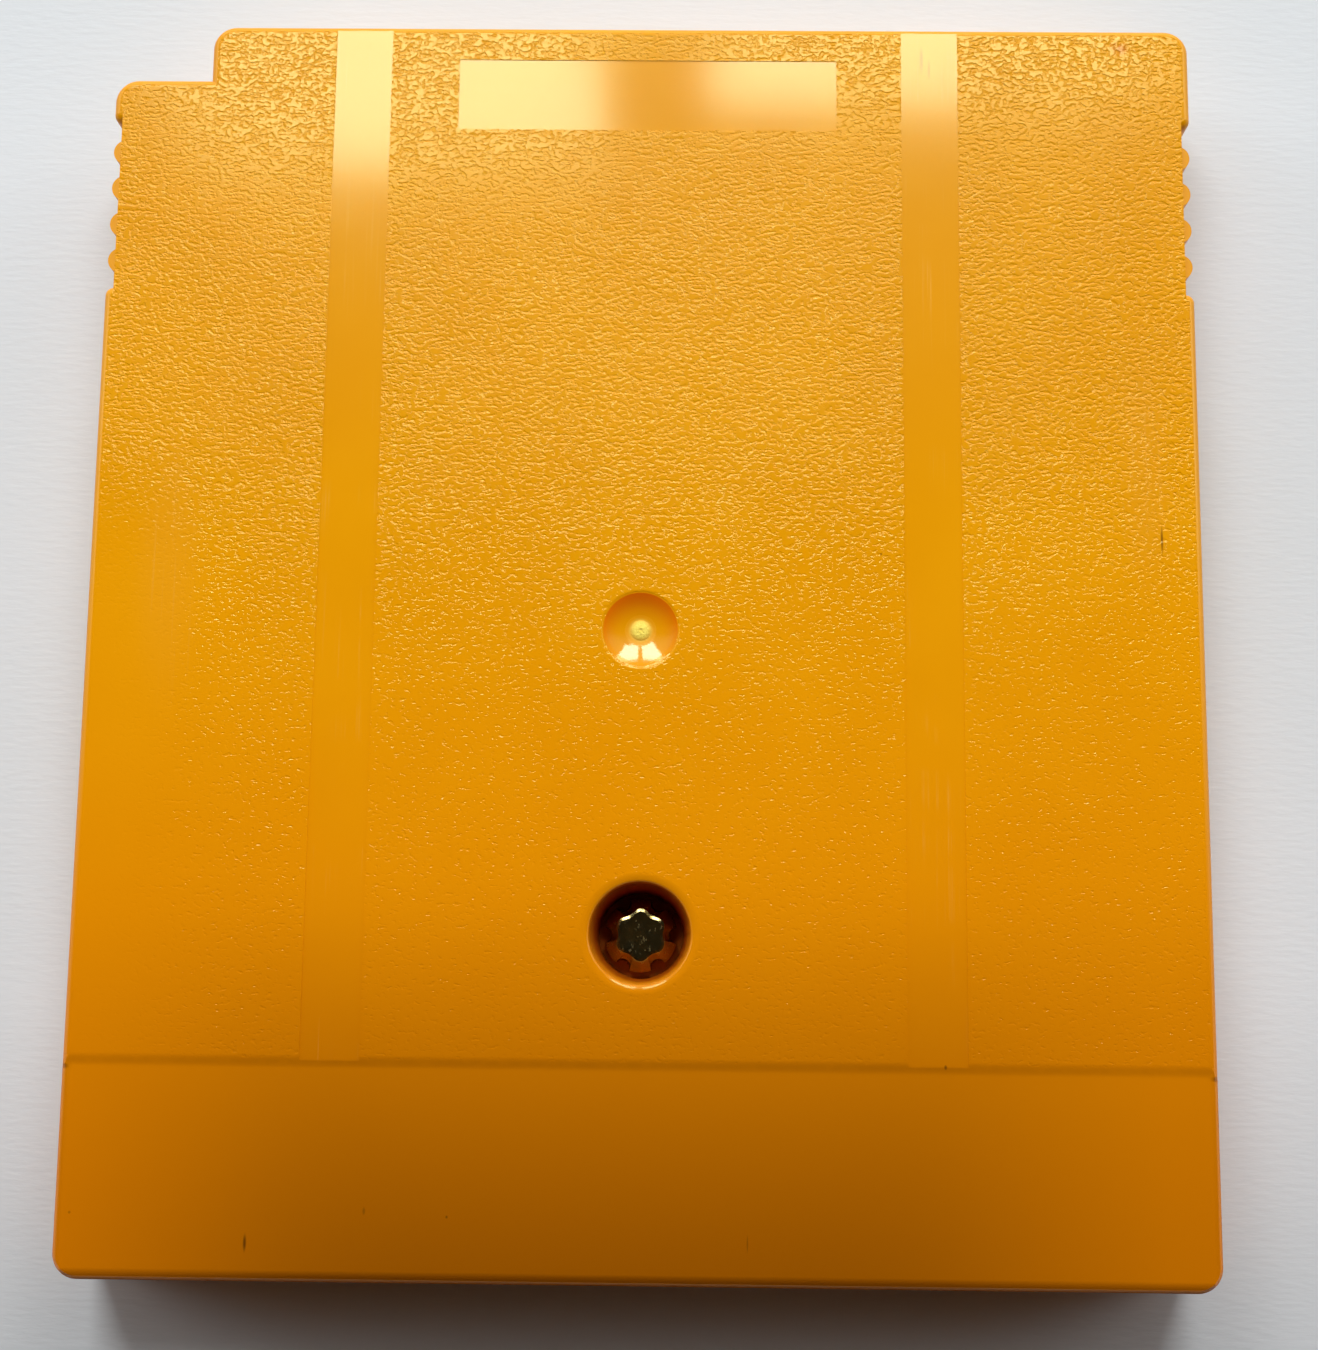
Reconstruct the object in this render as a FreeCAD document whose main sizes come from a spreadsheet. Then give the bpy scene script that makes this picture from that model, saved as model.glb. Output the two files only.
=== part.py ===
# Handheld game cartridge: a moulded case of two halves held by one screw, with a circuit board inside.
#
# The cartridge lies on its front face. The origin is at the middle of that face, +Z points out of the
# rear face, +Y towards the end with the corner notch and -Y towards the connector end. All sizes are
# in millimetres.
import FreeCAD
import Part
import Sketcher
import math
import os
import re

SIZES = {
    # Case
    "body_width": 57.0,
    "body_length": 65.0,
    "body_thickness": 7.6,
    "corner_radius": 1.25,
    "rear_edge_radius": 0.45,
    "front_edge_radius": 0.45,
    "notch_width": 5.1,
    "notch_length": 3.05,
    "seam_height": 3.9,
    "seam_chamfer": 0.12,
    "side_wall": 1.5,
    "rear_wall": 1.1,
    "front_wall": 1.1,
    # Lap joint between the halves
    "lip_height": 0.8,
    "lip_inset": 0.9,
    "lip_clearance": 0.08,
    "latch_spacing": 20.0,
    "latch_width": 6.0,
    "latch_depth": 0.4,
    "latch_height": 0.4,
    # Rear face
    "panel_length": 10.38,
    "panel_drop": 0.08,
    "crease_width": 0.4,
    "face_offset": -0.15,
    "band_offset": -0.24,
    "band_spacing": 30.0,
    "band_width": 2.97,
    "band_depth": 0.03,
    "plate_width": 20.0,
    "plate_length": 3.9,
    "plate_from_top": 1.9,
    "plate_depth": 0.035,
    "dimple_from_end": 32.38,
    "dimple_diameter": 3.88,
    "dimple_depth": 0.39,
    "dimple_lip_radius": 0.25,
    "gate_diameter": 1.1,
    "gate_height": 0.11,
    "gate_pit_diameter": 0.2,
    "gate_pit_depth": 0.05,
    # Side grips
    "grip_from_top": 7.02,
    "grip_pitch": 2.0,
    "grip_count": 4,
    "grip_radius": 0.68,
    "grip_depth": 0.5,
    "grip_end_run": 1.55,
    "grip_set_back": 0.01,
    "grip_shoulder_radius": 0.46,
    # Screw and its well
    "screw_from_end": 17.03,
    "screw_sink": 2.2,
    "well_rim_diameter": 6.1,
    "well_rim_depth": 0.085,
    "well_mouth_diameter": 5.12,
    "well_seat_diameter": 4.3,
    "well_lip_radius": 0.12,
    "well_wall": 0.85,
    "seat_thickness": 0.9,
    "head_height": 1.5,
    "head_diameter": 3.8,
    "head_top_diameter": 2.6,
    "head_rim_height": 0.85,
    "bite_count": 6,
    "bite_radius": 0.36,
    "bite_circle_diameter": 3.72,
    "shank_diameter": 2.0,
    "shank_clearance": 0.15,
    "thread_clearance": 0.02,
    "boss_wall": 1.5,
    "pilot_floor": 0.7,
    "tip_clearance": 0.2,
    # Front face
    "label_width": 42.0,
    "label_length": 37.0,
    "label_from_top": 12.0,
    "label_corner_radius": 1.6,
    "label_thickness": 0.14,
    "label_recess_depth": 0.3,
    "label_margin": 0.25,
    "arrow_width": 6.0,
    "arrow_length": 4.0,
    "arrow_from_end": 4.5,
    "arrow_depth": 0.2,
    # Connector slot
    "cheek_width": 3.3,
    "slot_depth": 10.2,
    "stop_wall": 1.0,
    "stop_clearance": 0.2,
    # Circuit board
    "board_thickness": 0.8,
    "board_gap": 0.4,
    "board_side_gap": 0.9,
    "board_top_gap": 1.3,
    "board_end_inset": 1.2,
    "board_step_gap": 0.3,
    "board_hole_gap": 0.3,
    "tongue_gap": 0.4,
    "tongue_bevel": 0.2,
    "post_radius": 1.2,
    "post_inset": 2.0,
    # Edge contacts
    "contact_count": 32,
    "contact_margin": 1.05,
    "contact_width": 1.0,
    "contact_length": 6.5,
    "contact_inset": 0.5,
    "contact_thickness": 0.05,
    # Chips: body along the board, body across it, and the span over the feet of the leads
    "chip_height": 2.2,
    "chip_standoff": 0.1,
    "chip_bevel": 0.25,
    "pin_mark_radius": 0.6,
    "pin_mark_depth": 0.1,
    "pin_mark_inset": 1.5,
    "lead_pitch": 1.27,
    "lead_width": 0.42,
    "lead_thickness": 0.2,
    "lead_foot": 0.7,
    "rom_length": 20.4,
    "rom_width": 11.2,
    "rom_span": 14.2,
    "rom_lead_count": 16,
    "rom_x": -11.5,
    "rom_from_top": 11.0,
    "ram_length": 18.0,
    "ram_width": 8.4,
    "ram_span": 11.8,
    "ram_lead_count": 14,
    "ram_x": 12.0,
    "ram_from_top": 10.0,
    "bank_length": 15.4,
    "bank_width": 7.5,
    "bank_span": 10.3,
    "bank_lead_count": 12,
    "bank_x": -13.0,
    "bank_from_end": 25.5,
    "backup_length": 5.0,
    "backup_width": 4.4,
    "backup_span": 6.2,
    "backup_lead_count": 4,
    "backup_x": -2.4,
    "backup_from_top": 23.5,
    # Coin cell and its strips
    "cell_diameter": 16.0,
    "cell_height": 1.6,
    "cell_cap_diameter": 13.0,
    "cell_cap_height": 0.3,
    "cell_edge_radius": 0.25,
    "cell_gap": 0.5,
    "cell_x": 11.5,
    "cell_from_end": 28.0,
    "tab_width": 4.0,
    "tab_thickness": 0.2,
    "tab_overlap": 5.0,
    "tab_stand_off": 0.8,
    "tab_foot": 1.7,
    # Chip capacitors and resistors
    "capacitor_length": 2.0,
    "capacitor_width": 1.25,
    "capacitor_height": 0.9,
    "capacitor_terminal": 0.4,
    "capacitor_column_x": 0.85,
    "capacitor_from_top": 7.5,
    "capacitor_pitch": 5.0,
    "capacitor_gap": 1.0,
    "resistor_length": 1.6,
    "resistor_width": 0.8,
    "resistor_height": 0.5,
    "resistor_terminal": 0.3,
    "resistor_count": 3,
    "resistor_pitch": 4.0,
    "resistor_gap": 1.6,
}

# Levels and lines that several pieces share
TOP_END = "body_length / 2"
LOW_END = "-body_length / 2"
CREASE = "panel_length - body_length / 2"
CAVITY_END = "slot_depth + stop_wall - body_length / 2"
SLOT_HALF = "body_width / 2 - cheek_width"
BOARD_REAR = "body_thickness - rear_wall - board_gap"
BOARD_FRONT = f"{BOARD_REAR} - board_thickness"
BOARD_HALF = "body_width / 2 - side_wall - board_side_gap"
BOARD_TOP = "body_length / 2 - notch_length - side_wall - board_top_gap"
BOARD_STEP = f"{CAVITY_END} + board_step_gap"
BOARD_END = f"{LOW_END} + board_end_inset"
TONGUE_HALF = f"{SLOT_HALF} - tongue_gap"
SCREW_Y = "screw_from_end - body_length / 2"
HEAD_TOP = "body_thickness - screw_sink"
SEAT = f"{HEAD_TOP} - head_height"
WELL_FLOOR = f"{SEAT} - seat_thickness"
PILOT_END = "label_recess_depth + pilot_floor"
POST_X = f"{BOARD_HALF} - post_inset"
POST_YS = (f"{BOARD_TOP} - post_inset", f"{BOARD_STEP} + post_inset")
SIDES = (("left", "-1"), ("right", "1"))

# Length that a cut runs past the surface it starts from
OVERRUN = "1"
# Radius of the ring on which a sketch's corners start, before its constraints place them
START_RADIUS = 10.0
TOLERANCE = 1e-4

doc = FreeCAD.newDocument("cartridge")
sheet = doc.addObject("Spreadsheet::Sheet", "Sizes")
for row, (alias, number) in enumerate(SIZES.items(), start=1):
    sheet.set(f"A{row}", alias)
    sheet.set(f"B{row}", str(number))
    sheet.setAlias(f"B{row}", alias)
doc.recompute()


def size(alias):
    """The number in a cell of the sheet."""
    return float(sheet.get(alias))


def formula(text):
    """An expression on the sheet's cells, from one written with bare aliases."""
    return re.sub(r"[a-z_]+", lambda word: f"Sizes.{word[0]}" if word[0] in SIZES else word[0], text)


def bind(thing, expressions):
    """Tie properties of a document object to the sheet."""
    for name, text in expressions.items():
        thing.setExpression(name, formula(text))


def place(thing, x="0", y="0", z="0"):
    bind(thing, {"Placement.Base.x": x, "Placement.Base.y": y, "Placement.Base.z": z})


def new_body(label):
    body = doc.addObject("PartDesign::Body", label)
    body.Label = label
    return body


def origin_feature(body, role):
    return next(part for part in body.Origin.OriginFeatures if part.Role == role)


def new_sketch(body, name, plane="XY_Plane", offset="0"):
    """An empty sketch on one of the body's own planes, moved along the plane's normal."""
    sketch = body.newObject("Sketcher::SketchObject", name)
    sketch.AttachmentSupport = [(origin_feature(body, plane), "")]
    sketch.MapMode = "FlatFace"
    bind(sketch, {"AttachmentOffset.Base.z": offset})
    return sketch


def draw_polygon(sketch, corners):
    """A closed outline whose corners are each held by two distances from the origin."""
    count = len(corners)
    start = []
    for index in range(count):
        turn = 2 * math.pi * index / count
        start.append(FreeCAD.Vector(START_RADIUS * math.cos(turn), START_RADIUS * math.sin(turn), 0))
    for index in range(count):
        sketch.addGeometry(Part.LineSegment(start[index], start[(index + 1) % count]))
    for index in range(count):
        sketch.addConstraint(Sketcher.Constraint("Coincident", index, 2, (index + 1) % count, 1))
    for index, (x, y) in enumerate(corners):
        for kind, guess, text in (("DistanceX", start[index].x, x), ("DistanceY", start[index].y, y)):
            number = sketch.addConstraint(Sketcher.Constraint(kind, -1, 1, index, 1, guess))
            bind(sketch, {f"Constraints[{number}]": text})


def pad(body, name, corners, low, high):
    """Material between two levels, inside an outline."""
    sketch = new_sketch(body, f"{name}_outline", offset=low)
    draw_polygon(sketch, corners)
    feature = body.newObject("PartDesign::Pad", name)
    feature.Profile = sketch
    bind(feature, {"Length": f"({high}) - ({low})"})
    doc.recompute()
    return feature


def pocket(body, name, corners, low, high, plane="XY_Plane"):
    """A cut between two levels along a plane's normal, inside an outline."""
    sketch = new_sketch(body, f"{name}_outline", plane, offset=high)
    draw_polygon(sketch, corners)
    feature = body.newObject("PartDesign::Pocket", name)
    feature.Profile = sketch
    bind(feature, {"Length": f"({high}) - ({low})"})
    doc.recompute()
    return feature


def block(body, name, low, high, cut=False):
    """A box between two opposite corners, added or cut."""
    kind = "PartDesign::SubtractiveBox" if cut else "PartDesign::AdditiveBox"
    feature = body.newObject(kind, name)
    place(feature, *low)
    for side, first, last in zip(("Length", "Width", "Height"), low, high):
        bind(feature, {side: f"({last}) - ({first})"})
    doc.recompute()
    return feature


def round_bar(body, name, centre, radius, low, high, cut=False):
    """An upright cylinder between two levels, added or cut."""
    kind = "PartDesign::SubtractiveCylinder" if cut else "PartDesign::AdditiveCylinder"
    feature = body.newObject(kind, name)
    place(feature, *centre, low)
    bind(feature, {"Radius": radius, "Height": f"({high}) - ({low})"})
    doc.recompute()
    return feature


def taper(body, name, centre, low_radius, high_radius, low, high, cut=False):
    """An upright cone between two levels, added or cut."""
    kind = "PartDesign::SubtractiveCone" if cut else "PartDesign::AdditiveCone"
    feature = body.newObject(kind, name)
    place(feature, *centre, low)
    bind(feature, {"Radius1": low_radius, "Radius2": high_radius, "Height": f"({high}) - ({low})"})
    doc.recompute()
    return feature


def edge_names(body, wanted):
    """Names of the edges of a body, as built so far, that a test accepts."""
    edges = body.Tip.Shape.Edges
    return [f"Edge{number}" for number, edge in enumerate(edges, start=1) if wanted(edge)]


def dress(body, name, kind, property_name, amount, wanted):
    """A fillet or chamfer on the edges that a test accepts."""
    base = body.Tip
    names = edge_names(body, wanted)
    feature = body.newObject(kind, name)
    feature.Base = (base, names)
    bind(feature, {property_name: amount})
    doc.recompute()
    return feature


def fillet(body, name, radius, wanted):
    return dress(body, name, "PartDesign::Fillet", "Radius", radius, wanted)


def chamfer(body, name, amount, wanted):
    return dress(body, name, "PartDesign::Chamfer", "Size", amount, wanted)


def near(first, second):
    return abs(first - second) < TOLERANCE


def at_level(edge, level):
    """Whether a whole edge lies at one height."""
    box = edge.BoundBox
    return near(box.ZMin, level) and near(box.ZMax, level)


def is_upright_at(edge, x, y):
    """Whether an edge is an upright line through a point of the plan."""
    box = edge.BoundBox
    flat = near(box.XLength, 0) and near(box.YLength, 0)
    return flat and near(box.XMin, x) and near(box.YMin, y)


def on_corners(corners):
    return lambda edge: any(is_upright_at(edge, x, y) for x, y in corners)


def case_outline(inset, low):
    """Plan of the case with its corner notch, drawn inwards by an inset and starting at a low line."""
    left = f"{inset} - body_width / 2"
    right = f"body_width / 2 - {inset}"
    top = f"{TOP_END} - {inset}"
    notch_x = f"{inset} + notch_width - body_width / 2"
    notch_y = f"{TOP_END} - notch_length - {inset}"
    return ((left, low), (right, low), (right, top), (notch_x, top), (notch_x, notch_y), (left, notch_y))


def case_corners():
    """Outer corners of the plan at the notched end, in millimetres."""
    half_width = size("body_width") / 2
    half_length = size("body_length") / 2
    return (
        (half_width, half_length),
        (size("notch_width") - half_width, half_length),
        (-half_width, half_length - size("notch_length")),
    )


def end_corners():
    """Corners of the plan at the connector end, in millimetres."""
    half_width = size("body_width") / 2
    half_length = size("body_length") / 2
    return ((half_width, -half_length), (-half_width, -half_length))


def grip_shoulders(side):
    """Plan points, in millimetres, where the recess of one side's grip meets the full width."""
    x = size("body_width") / 2 * (1 if side == "right" else -1)
    first = size("body_length") / 2 - size("grip_from_top")
    last = first - size("grip_pitch") * (size("grip_count") - 1)
    return ((x, first + size("grip_end_run")), (x, last - size("grip_end_run")))


def add_grips(body, low, high, bump_low, bump_high):
    """A shallow recess with a row of half-round bumps, down both sides."""
    first = f"{TOP_END} - grip_from_top"
    last = f"{first} - grip_pitch * (grip_count - 1)"
    for side, sign in SIDES:
        edges = ("body_width / 2 - grip_depth", f"body_width / 2 + {OVERRUN}")
        if side == "left":
            edges = tuple(f"-({edge})" for edge in reversed(edges))
        block(
            body, f"grip_recess_{side}",
            (edges[0], f"{last} - grip_end_run", low),
            (edges[1], f"{first} + grip_end_run", high), cut=True,
        )
        fillet(body, f"grip_shoulders_{side}", "grip_shoulder_radius", on_corners(grip_shoulders(side)))
        bump_x = f"{sign} * (body_width / 2 - grip_radius - grip_set_back)"
        bump = round_bar(body, f"grip_bump_{side}", (bump_x, last), "grip_radius", bump_low, bump_high)
        row = body.newObject("PartDesign::LinearPattern", f"grip_row_{side}")
        row.Originals = [bump]
        row.Direction = (origin_feature(body, "Y_Axis"), [""])
        bind(row, {"Length": "grip_pitch * (grip_count - 1)", "Occurrences": "grip_count"})
        body.Tip = row
        doc.recompute()


def add_latches(body, clearance, cut):
    """Two nibs outside the lip at the notched end, or the pockets that take them."""
    low = f"seam_height - lip_height - {clearance}"
    for side, sign in SIDES:
        middle = f"{sign} * latch_spacing / 2"
        block(
            body, f"latch_{side}",
            (f"{middle} - latch_width / 2 - {clearance}", f"{TOP_END} - side_wall", low),
            (
                f"{middle} + latch_width / 2 + {clearance}",
                f"{TOP_END} - lip_inset + latch_depth + {clearance}",
                f"{low} + latch_height + 2 * {clearance}",
            ),
            cut=cut,
        )


def add_posts(body, low, high):
    """Four posts that hold the board near its corners."""
    for side, sign in SIDES:
        for row, y in enumerate(POST_YS, start=1):
            round_bar(body, f"post_{side}_{row}", (f"{sign} * ({POST_X})", y), "post_radius", low, high)


def make_rear_shell():
    body = new_body("rear_shell")
    pad(body, "block", case_outline("0", LOW_END), "seam_height", "body_thickness")
    fillet(body, "corners", "corner_radius", on_corners(case_corners() + end_corners()))
    fillet(body, "rear_rim", "rear_edge_radius", lambda edge: at_level(edge, size("body_thickness")))
    add_panel(body)
    chamfer(body, "seam_line", "seam_chamfer", lambda edge: at_level(edge, size("seam_height")))
    add_grips(
        body, f"seam_height - {OVERRUN}", f"body_thickness + {OVERRUN}",
        "seam_height", "body_thickness - rear_edge_radius",
    )
    lip_low = "seam_height - lip_height"
    pad(body, "lip", case_outline("lip_inset", CAVITY_END), lip_low, "seam_height + lip_height")
    inner = "body_thickness - rear_wall"
    pocket(body, "cavity", case_outline("side_wall", CAVITY_END), f"{lip_low} - {OVERRUN}", inner)
    block(
        body, "slot", (f"-({SLOT_HALF})", f"{LOW_END} - {OVERRUN}", f"{lip_low} - {OVERRUN}"),
        (SLOT_HALF, f"{CAVITY_END} + {OVERRUN}", inner), cut=True,
    )
    add_latches(body, "0", cut=False)
    add_posts(body, BOARD_REAR, f"{inner} + rear_wall / 2")
    add_screw_well(body)
    add_rear_face_details(body)
    return body


def add_panel(body):
    """The lowered panel at the connector end, with a shallow slope up to the main face."""
    level = "body_thickness - panel_drop"
    above = f"body_thickness + {OVERRUN}"
    slope_top = f"{CREASE} + crease_width"
    profile = (
        (f"{LOW_END} - {OVERRUN}", level), (CREASE, level), (slope_top, "body_thickness"),
        (slope_top, above), (f"{LOW_END} - {OVERRUN}", above),
    )
    beyond = f"body_width / 2 + {OVERRUN}"
    pocket(body, "panel", profile, f"-({beyond})", beyond, plane="YZ_Plane")


def add_screw_well(body):
    """A dished rim in the rear face, and a tapered well down to the seat of the screw head."""
    centre = ("0", SCREW_Y)
    mouth = "well_mouth_diameter / 2"
    mouth_level = "body_thickness - well_rim_depth"
    seat = "well_seat_diameter / 2"
    taper(
        body, "well_tube", centre, f"{seat} + well_wall", f"{mouth} + well_wall",
        WELL_FLOOR, "body_thickness - rear_wall / 2",
    )
    taper(body, "well", centre, seat, mouth, SEAT, mouth_level, cut=True)
    rim = "well_rim_diameter / 2"
    taper(body, "well_rim", centre, mouth, rim, mouth_level, "body_thickness", cut=True)
    shank = "shank_diameter / 2 + shank_clearance"
    round_bar(body, "shank_hole", centre, shank, f"{WELL_FLOOR} - {OVERRUN}", f"{SEAT} + {OVERRUN}", cut=True)
    level = size("body_thickness") - size("well_rim_depth")

    def on_mouth(edge):
        return at_level(edge, level) and near(edge.BoundBox.XLength, size("well_mouth_diameter"))

    fillet(body, "well_lip", "well_lip_radius", on_mouth)


def add_rear_face_details(body):
    """Smooth bands, bare nameplate recess and the gate dimple."""
    above = f"body_thickness + {OVERRUN}"
    for side, sign in SIDES:
        middle = f"band_offset + {sign} * band_spacing / 2"
        block(
            body, f"band_{side}", (f"{middle} - band_width / 2", CREASE, "body_thickness - band_depth"),
            (f"{middle} + band_width / 2", f"{TOP_END} + {OVERRUN}", above), cut=True,
        )
    plate_top = f"{TOP_END} - plate_from_top"
    block(
        body, "plate",
        ("face_offset - plate_width / 2", f"{plate_top} - plate_length", "body_thickness - plate_depth"),
        ("face_offset + plate_width / 2", plate_top, above), cut=True,
    )
    add_dimple(body)


def add_dimple(body):
    """A hollow cut by a ball, and in its middle the low stub of the moulding gate."""
    centre = ("face_offset", f"dimple_from_end + ({LOW_END})")
    dimple = body.newObject("PartDesign::SubtractiveEllipsoid", "dimple")
    ball = "((dimple_diameter / 2) ^ 2 + dimple_depth ^ 2) / (2 * dimple_depth)"
    place(dimple, *centre, f"body_thickness - dimple_depth + {ball}")
    bind(dimple, {"Radius1": ball, "Radius2": ball, "Radius3": ball})
    doc.recompute()

    def on_dimple(edge):
        box = edge.BoundBox
        return at_level(edge, size("body_thickness")) and near(box.XLength, size("dimple_diameter"))

    fillet(body, "dimple_lip", "dimple_lip_radius", on_dimple)
    floor = "body_thickness - dimple_depth"
    gate = body.newObject("PartDesign::AdditiveEllipsoid", "gate")
    place(gate, *centre, floor)
    across = "gate_diameter / 2"
    bind(gate, {"Radius1": "gate_height", "Radius2": across, "Radius3": across})
    doc.recompute()
    pit_floor = f"{floor} + gate_height - gate_pit_depth"
    round_bar(
        body, "gate_pit", centre, "gate_pit_diameter / 2", pit_floor, f"body_thickness + {OVERRUN}", cut=True,
    )


def make_front_shell():
    body = new_body("front_shell")
    pad(body, "block", case_outline("0", LOW_END), "0", "seam_height")
    fillet(body, "corners", "corner_radius", on_corners(case_corners() + end_corners()))
    fillet(body, "front_rim", "front_edge_radius", lambda edge: at_level(edge, 0))
    chamfer(body, "seam_line", "seam_chamfer", lambda edge: at_level(edge, size("seam_height")))
    add_grips(body, f"-{OVERRUN}", f"seam_height + {OVERRUN}", "front_edge_radius", "seam_height")
    above = f"seam_height + {OVERRUN}"
    pocket(body, "cavity", case_outline("side_wall", CAVITY_END), "front_wall", above)
    rebate = case_outline("(lip_inset - lip_clearance)", f"{CAVITY_END} - lip_clearance")
    pocket(body, "rebate", rebate, "seam_height - lip_height - lip_clearance", above)
    stop_y = f"{LOW_END} + slot_depth"
    block(
        body, "slot", (f"-({SLOT_HALF})", f"{LOW_END} - {OVERRUN}", "front_wall"),
        (SLOT_HALF, stop_y, above), cut=True,
    )
    block(
        body, "connector_stop", (f"-({SLOT_HALF}) + stop_clearance", stop_y, "front_wall / 2"),
        (f"{SLOT_HALF} - stop_clearance", CAVITY_END, f"{BOARD_FRONT} - stop_clearance"),
    )
    add_latches(body, "lip_clearance", cut=True)
    add_posts(body, "front_wall / 2", BOARD_FRONT)
    centre = ("0", SCREW_Y)
    round_bar(body, "boss", centre, "shank_diameter / 2 + boss_wall", "front_wall / 2", WELL_FLOOR)
    pilot = "shank_diameter / 2 + thread_clearance"
    round_bar(body, "pilot", centre, pilot, PILOT_END, f"{WELL_FLOOR} + {OVERRUN}", cut=True)
    add_label_recess(body)
    return body


def label_edges(margin):
    """Low and high lines of the label's plan, drawn outwards by a margin."""
    high = f"{TOP_END} - label_from_top"
    return (
        (f"-label_width / 2 - {margin}", f"{high} - label_length - {margin}"),
        (f"label_width / 2 + {margin}", f"{high} + {margin}"),
    )


def label_corners(margin):
    """Corners of the label's plan, in millimetres, drawn outwards by a margin."""
    half_width = size("label_width") / 2 + margin
    high = size("body_length") / 2 - size("label_from_top") + margin
    low = high - size("label_length") - 2 * margin
    return ((half_width, high), (-half_width, high), (half_width, low), (-half_width, low))


def add_label_recess(body):
    """The recess that protects the label, and a plain arrow towards the connector end."""
    low, high = label_edges("label_margin")
    block(body, "label_recess", (*low, f"-{OVERRUN}"), (*high, "label_recess_depth"), cut=True)
    corners = label_corners(size("label_margin"))
    fillet(body, "label_recess_corners", "label_corner_radius", on_corners(corners))
    tip = f"{LOW_END} + arrow_from_end"
    tail = f"{tip} + arrow_length"
    arrow = (("0", tip), ("arrow_width / 2", tail), ("-arrow_width / 2", tail))
    pocket(body, "arrow", arrow, f"-{OVERRUN}", "arrow_depth")


def make_front_label():
    body = new_body("front_label")
    low, high = label_edges("0")
    block(
        body, "sticker", (*low, "label_recess_depth - label_thickness"), (*high, "label_recess_depth"),
    )
    fillet(body, "sticker_corners", "label_corner_radius", on_corners(label_corners(0)))
    return body


def make_shell_screw():
    """Security screw: a stepped round head with bites in its rim, and a plain shank."""
    body = new_body("shell_screw")
    rim = "head_diameter / 2"
    core = "shank_diameter / 2"
    rim_level = "head_rim_height - head_height"
    tip = f"{PILOT_END} + tip_clearance - ({HEAD_TOP})"
    outline = (
        ("0", "0"), ("head_top_diameter / 2", "0"), (rim, rim_level), (rim, "-head_height"),
        (core, "-head_height"), (core, f"{tip} + {core}"), ("0", tip),
    )
    sketch = new_sketch(body, "half_section", plane="XZ_Plane")
    draw_polygon(sketch, outline)
    turned = body.newObject("PartDesign::Revolution", "turned")
    turned.Profile = sketch
    turned.ReferenceAxis = (sketch, ["V_Axis"])
    turned.Angle = 360
    doc.recompute()
    bite = round_bar(
        body, "bite", ("bite_circle_diameter / 2", "0"), "bite_radius", "-head_height", OVERRUN, cut=True,
    )
    ring = body.newObject("PartDesign::PolarPattern", "bites")
    ring.Originals = [bite]
    ring.Axis = (origin_feature(body, "Z_Axis"), [""])
    ring.Angle = 360
    bind(ring, {"Occurrences": "bite_count"})
    body.Tip = ring
    place(body, "0", SCREW_Y, HEAD_TOP)
    doc.recompute()
    return body


def make_circuit_board():
    body = new_body("circuit_board")
    outline = (
        (f"-({TONGUE_HALF})", BOARD_END), (TONGUE_HALF, BOARD_END), (TONGUE_HALF, BOARD_STEP),
        (BOARD_HALF, BOARD_STEP), (BOARD_HALF, BOARD_TOP), (f"-({BOARD_HALF})", BOARD_TOP),
        (f"-({BOARD_HALF})", BOARD_STEP), (f"-({TONGUE_HALF})", BOARD_STEP),
    )
    pad(body, "sheet", outline, BOARD_FRONT, BOARD_REAR)
    hole = "well_mouth_diameter / 2 + well_wall + board_hole_gap"
    round_bar(
        body, "well_hole", ("0", SCREW_Y), hole, f"{BOARD_FRONT} - {OVERRUN}", f"{BOARD_REAR} + {OVERRUN}",
        cut=True,
    )
    end = size("board_end_inset") - size("body_length") / 2

    def on_tongue_edge(edge):
        box = edge.BoundBox
        return near(box.YMin, end) and near(box.YMax, end) and near(box.ZLength, 0)

    chamfer(body, "tongue_edge", "tongue_bevel", on_tongue_edge)
    return body


def make_edge_contacts():
    """A row of plated fingers on the front of the tongue."""
    body = new_body("edge_contacts")
    first = f"-({TONGUE_HALF}) + contact_margin"
    low = f"{BOARD_END} + contact_inset"
    finger = block(
        body, "finger", (first, low, f"{BOARD_FRONT} - contact_thickness"),
        (f"{first} + contact_width", f"{low} + contact_length", BOARD_FRONT),
    )
    row = body.newObject("PartDesign::LinearPattern", "fingers")
    row.Originals = [finger]
    row.Direction = (origin_feature(body, "X_Axis"), [""])
    bind(row, {
        "Length": f"2 * ({TONGUE_HALF} - contact_margin) - contact_width",
        "Occurrences": "contact_count",
    })
    body.Tip = row
    doc.recompute()
    return body


def make_chip(name, x, y):
    """A moulded package that hangs under the board, with its first lead marked by a shallow pit."""
    body = new_body(f"{name}_chip")
    half_length = f"{name}_length / 2"
    half_width = f"{name}_width / 2"
    under = "-chip_standoff - chip_height"
    block(
        body, "package", (f"-{half_length}", f"-{half_width}", under),
        (half_length, half_width, "-chip_standoff"),
    )
    level = -size("chip_standoff") - size("chip_height")
    chamfer(body, "package_bevel", "chip_bevel", lambda edge: at_level(edge, level))
    mark = (f"pin_mark_inset - {half_length}", f"pin_mark_inset - {half_width}")
    round_bar(
        body, "pin_mark", mark, "pin_mark_radius", f"{under} - {OVERRUN}", f"{under} + pin_mark_depth",
        cut=True,
    )
    place(body, x, y, BOARD_FRONT)
    doc.recompute()
    return body


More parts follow.
